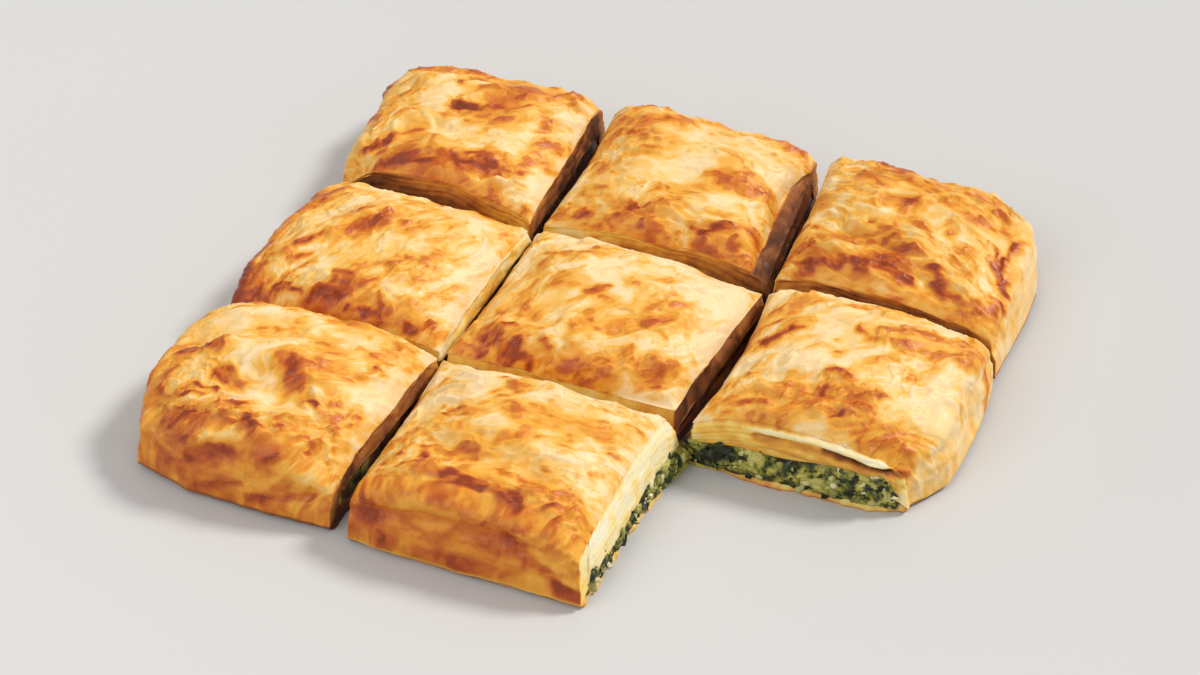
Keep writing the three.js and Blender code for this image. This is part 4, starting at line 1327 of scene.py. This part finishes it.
def spinach_filling_material():
    made = Recipe("spinach_filling")
    shader = made.shader
    clumps = made.noise(150, 5, 0.6)
    flecks = made.noise(560, 3, 0.6)
    pick = made.swayed(clumps, flecks, 0.2)
    greens = made.ramp(
        pick,
        (
            (0.34, "12140A"), (0.42, "262C12"), (0.46, "4E501E"), (0.51, "84802E"), (0.57, "B2AA48"),
            (0.64, "C2BA6E"), (0.74, "DAD398"),
        ),
    )
    # Brown for the filling in the closed gaps: partly a baked crust, partly painted shade deep in the narrow
    # gaps.
    crust_and_shade_colours = made.ramp(clumps, ((0.3, "2A1408"), (0.5, "5E3214"), (0.65, "8A5220"), (0.8, "A8702E")))
    made.links.new(made.mix(made.attribute("crust_and_gap_shade"), greens, crust_and_shade_colours), shader.inputs["Base Color"])
    made.links.new(made.ramp(flecks, ((0.3, 0.30), (0.7, 0.58))), shader.inputs["Roughness"])
    shader.inputs["Specular IOR Level"].default_value = 0.45
    normal = made.bump(made.noise(380, 5, 0.65), 0.8, 0.0014)
    made.links.new(normal, shader.inputs["Normal"])
    return made.material


def curd_material():
    made = Recipe("crumbled_cheese")
    shader = made.shader
    specks = made.noise(500, 4, 0.6)
    tint = made.swayed(made.attribute("shade"), specks, 0.8)
    colour = made.ramp(tint, ((0.1, "7C7E3C"), (0.4, "A29E50"), (0.7, "C6BE7C"), (1.0, "E6DFB8")))
    made.links.new(colour, shader.inputs["Base Color"])
    made.links.new(made.ramp(specks, ((0.3, 0.35), (0.7, 0.6))), shader.inputs["Roughness"])
    made.links.new(made.bump(specks, 0.5, 0.0006), shader.inputs["Normal"])
    return made.material


def leaf_material():
    made = Recipe("chopped_spinach")
    shader = made.shader
    veins = made.noise(420, 4, 0.6)
    tint = made.swayed(made.attribute("shade"), veins, 0.7)
    colour = made.ramp(tint, ((0.1, "0C1208"), (0.45, "1C2810"), (0.75, "36441A"), (0.95, "5E6828")))
    made.links.new(colour, shader.inputs["Base Color"])
    made.links.new(made.ramp(veins, ((0.3, 0.28), (0.7, 0.5))), shader.inputs["Roughness"])
    made.links.new(made.bump(veins, 0.5, 0.0005), shader.inputs["Normal"])
    return made.material


def bottom_pastry_material():
    made = Recipe("bottom_pastry")
    shader = made.shader
    fine = made.noise(420, 4, 0.6)
    streaks = made.noise(170, 4, 0.6, distortion=0.6)
    brown = made.attribute("browning")
    brown = made.swayed(made.swayed(brown, streaks, 0.35), fine, 0.2, clamp=True)
    colour = made.ramp(
        brown,
        (
            (0.0, "EADF96"), (0.2, "E6CC72"), (0.4, "E0AE4E"), (0.55, "D6923A"), (0.7, "BE6E2A"),
            (0.85, "944A1E"),
            (1.0, "5E2812"),
        ),
    )
    juice = made.ramp(fine, ((0.3, "8E8A30"), (0.5, "B8B044"), (0.7, "CCC65A")))
    made.links.new(made.mix(made.attribute("soaked"), colour, juice), shader.inputs["Base Color"])
    made.links.new(made.ramp(fine, ((0.3, 0.42), (0.7, 0.62))), shader.inputs["Roughness"])
    normal = made.bump(made.noise(300, 5, 0.65), 0.6, 0.001)
    made.links.new(normal, shader.inputs["Normal"])
    return made.material


def floor_material():
    made = Recipe("pale_table")
    faint = made.noise(3, 2, 0.5)
    made.links.new(made.ramp(faint, ((0.3, "C8C8C8"), (0.7, "CACACA"))), made.shader.inputs["Base Color"])
    made.shader.inputs["Roughness"].default_value = 0.8
    made.shader.inputs["Specular IOR Level"].default_value = 0.1
    return made.material


# ---------------------------------------------------------------- the pie
BAKED = baked_pastry_material()
FILLED = spinach_filling_material()
UNDER = bottom_pastry_material()

for number, part in enumerate(SLICES):
    part["seed"] = 11 + 3 * number
    name = part["name"]
    opened = "open" in part
    finished_piece(
        f"pastry_lid_{name}", slab(20, 8, 28, True), lid_shape(part),
        BAKED, f"lid_{name}",
    )
    finished_piece(
        f"spinach_{name}", slab(12, 15 if opened else 7, 24 if opened else 12, False), filling_shape(part),
        FILLED, f"filling_{name}", 80,
    )
    finished_piece(
        f"bottom_crust_{name}", slab(16, 9 if opened else 5, 8 if opened else 5, opened), bottom_shape(part),
        UNDER, f"bottom_{name}",
    )

strewn_on_cuts("cheese_crumbs", ball_mesh(), as_curd, 62, 5, curd_material(), 1.2)
strewn_on_cuts("spinach_scraps", leaf_mesh(), as_scrap, 95, 8, leaf_material(), 0.9)


# ---------------------------------------------------------------- table, light and camera
def make_floor():
    bm = bmesh.new()
    bmesh.ops.create_grid(bm, x_segments=2, y_segments=2, size=4.0)
    mesh = mesh_of("table_top", bm)
    mesh.materials.append(floor_material())
    set_down("table_top", mesh)


def soft_light(name, place, aim, size, power, tint):
    lamp = bpy.data.lights.new(name, "AREA")
    lamp.shape = "DISK"
    lamp.size = size
    lamp.energy = power
    lamp.color = tint
    held = set_down(name, lamp)
    held.location = place
    held.rotation_euler = (Vector(aim) - Vector(place)).to_track_quat("-Z", "Y").to_euler()


def sun_light(name, towards, power, spread_degrees, tint):
    lamp = bpy.data.lights.new(name, "SUN")
    lamp.energy = power
    lamp.angle = math.radians(spread_degrees)
    lamp.color = tint
    held = set_down(name, lamp)
    held.rotation_euler = Vector(towards).to_track_quat("Z", "Y").to_euler()


CAMERA_PLACE = (0.3887, -0.9383, 0.8037)
CAMERA_AZIMUTH = math.radians(22.68)
CAMERA_ELEVATION = math.radians(37.92)
LENS_LENGTH = 105.0


def make_camera():
    lens = bpy.data.cameras.new("camera")
    lens.lens = LENS_LENGTH
    lens.sensor_width = 36.0
    lens.clip_start, lens.clip_end = 0.05, 20
    held = set_down("camera", lens)
    held.location = CAMERA_PLACE
    level = math.cos(CAMERA_ELEVATION)
    aside, ahead = -math.sin(CAMERA_AZIMUTH) * level, math.cos(CAMERA_AZIMUTH) * level
    looking = Vector((aside, ahead, -math.sin(CAMERA_ELEVATION)))
    held.rotation_euler = looking.to_track_quat("-Z", "Y").to_euler()
    bpy.context.scene.camera = held


make_floor()
sun_light("key", (0.68, 0.58, 0.88), 2.33, 14, (1.0, 0.967, 0.918))
soft_light("front_fill", (-0.6, -1.5, 1.4), (0, 0, 0), 1.4, 12, (1.0, 0.985, 0.96))
make_camera()

world = bpy.data.worlds.new("studio")
world.use_nodes = True
world.node_tree.nodes["Background"].inputs["Color"].default_value = (1.0, 0.985, 0.965, 1)
world.node_tree.nodes["Background"].inputs["Strength"].default_value = 0.60
bpy.context.scene.world = world
bpy.context.scene.view_settings.view_transform = "Standard"
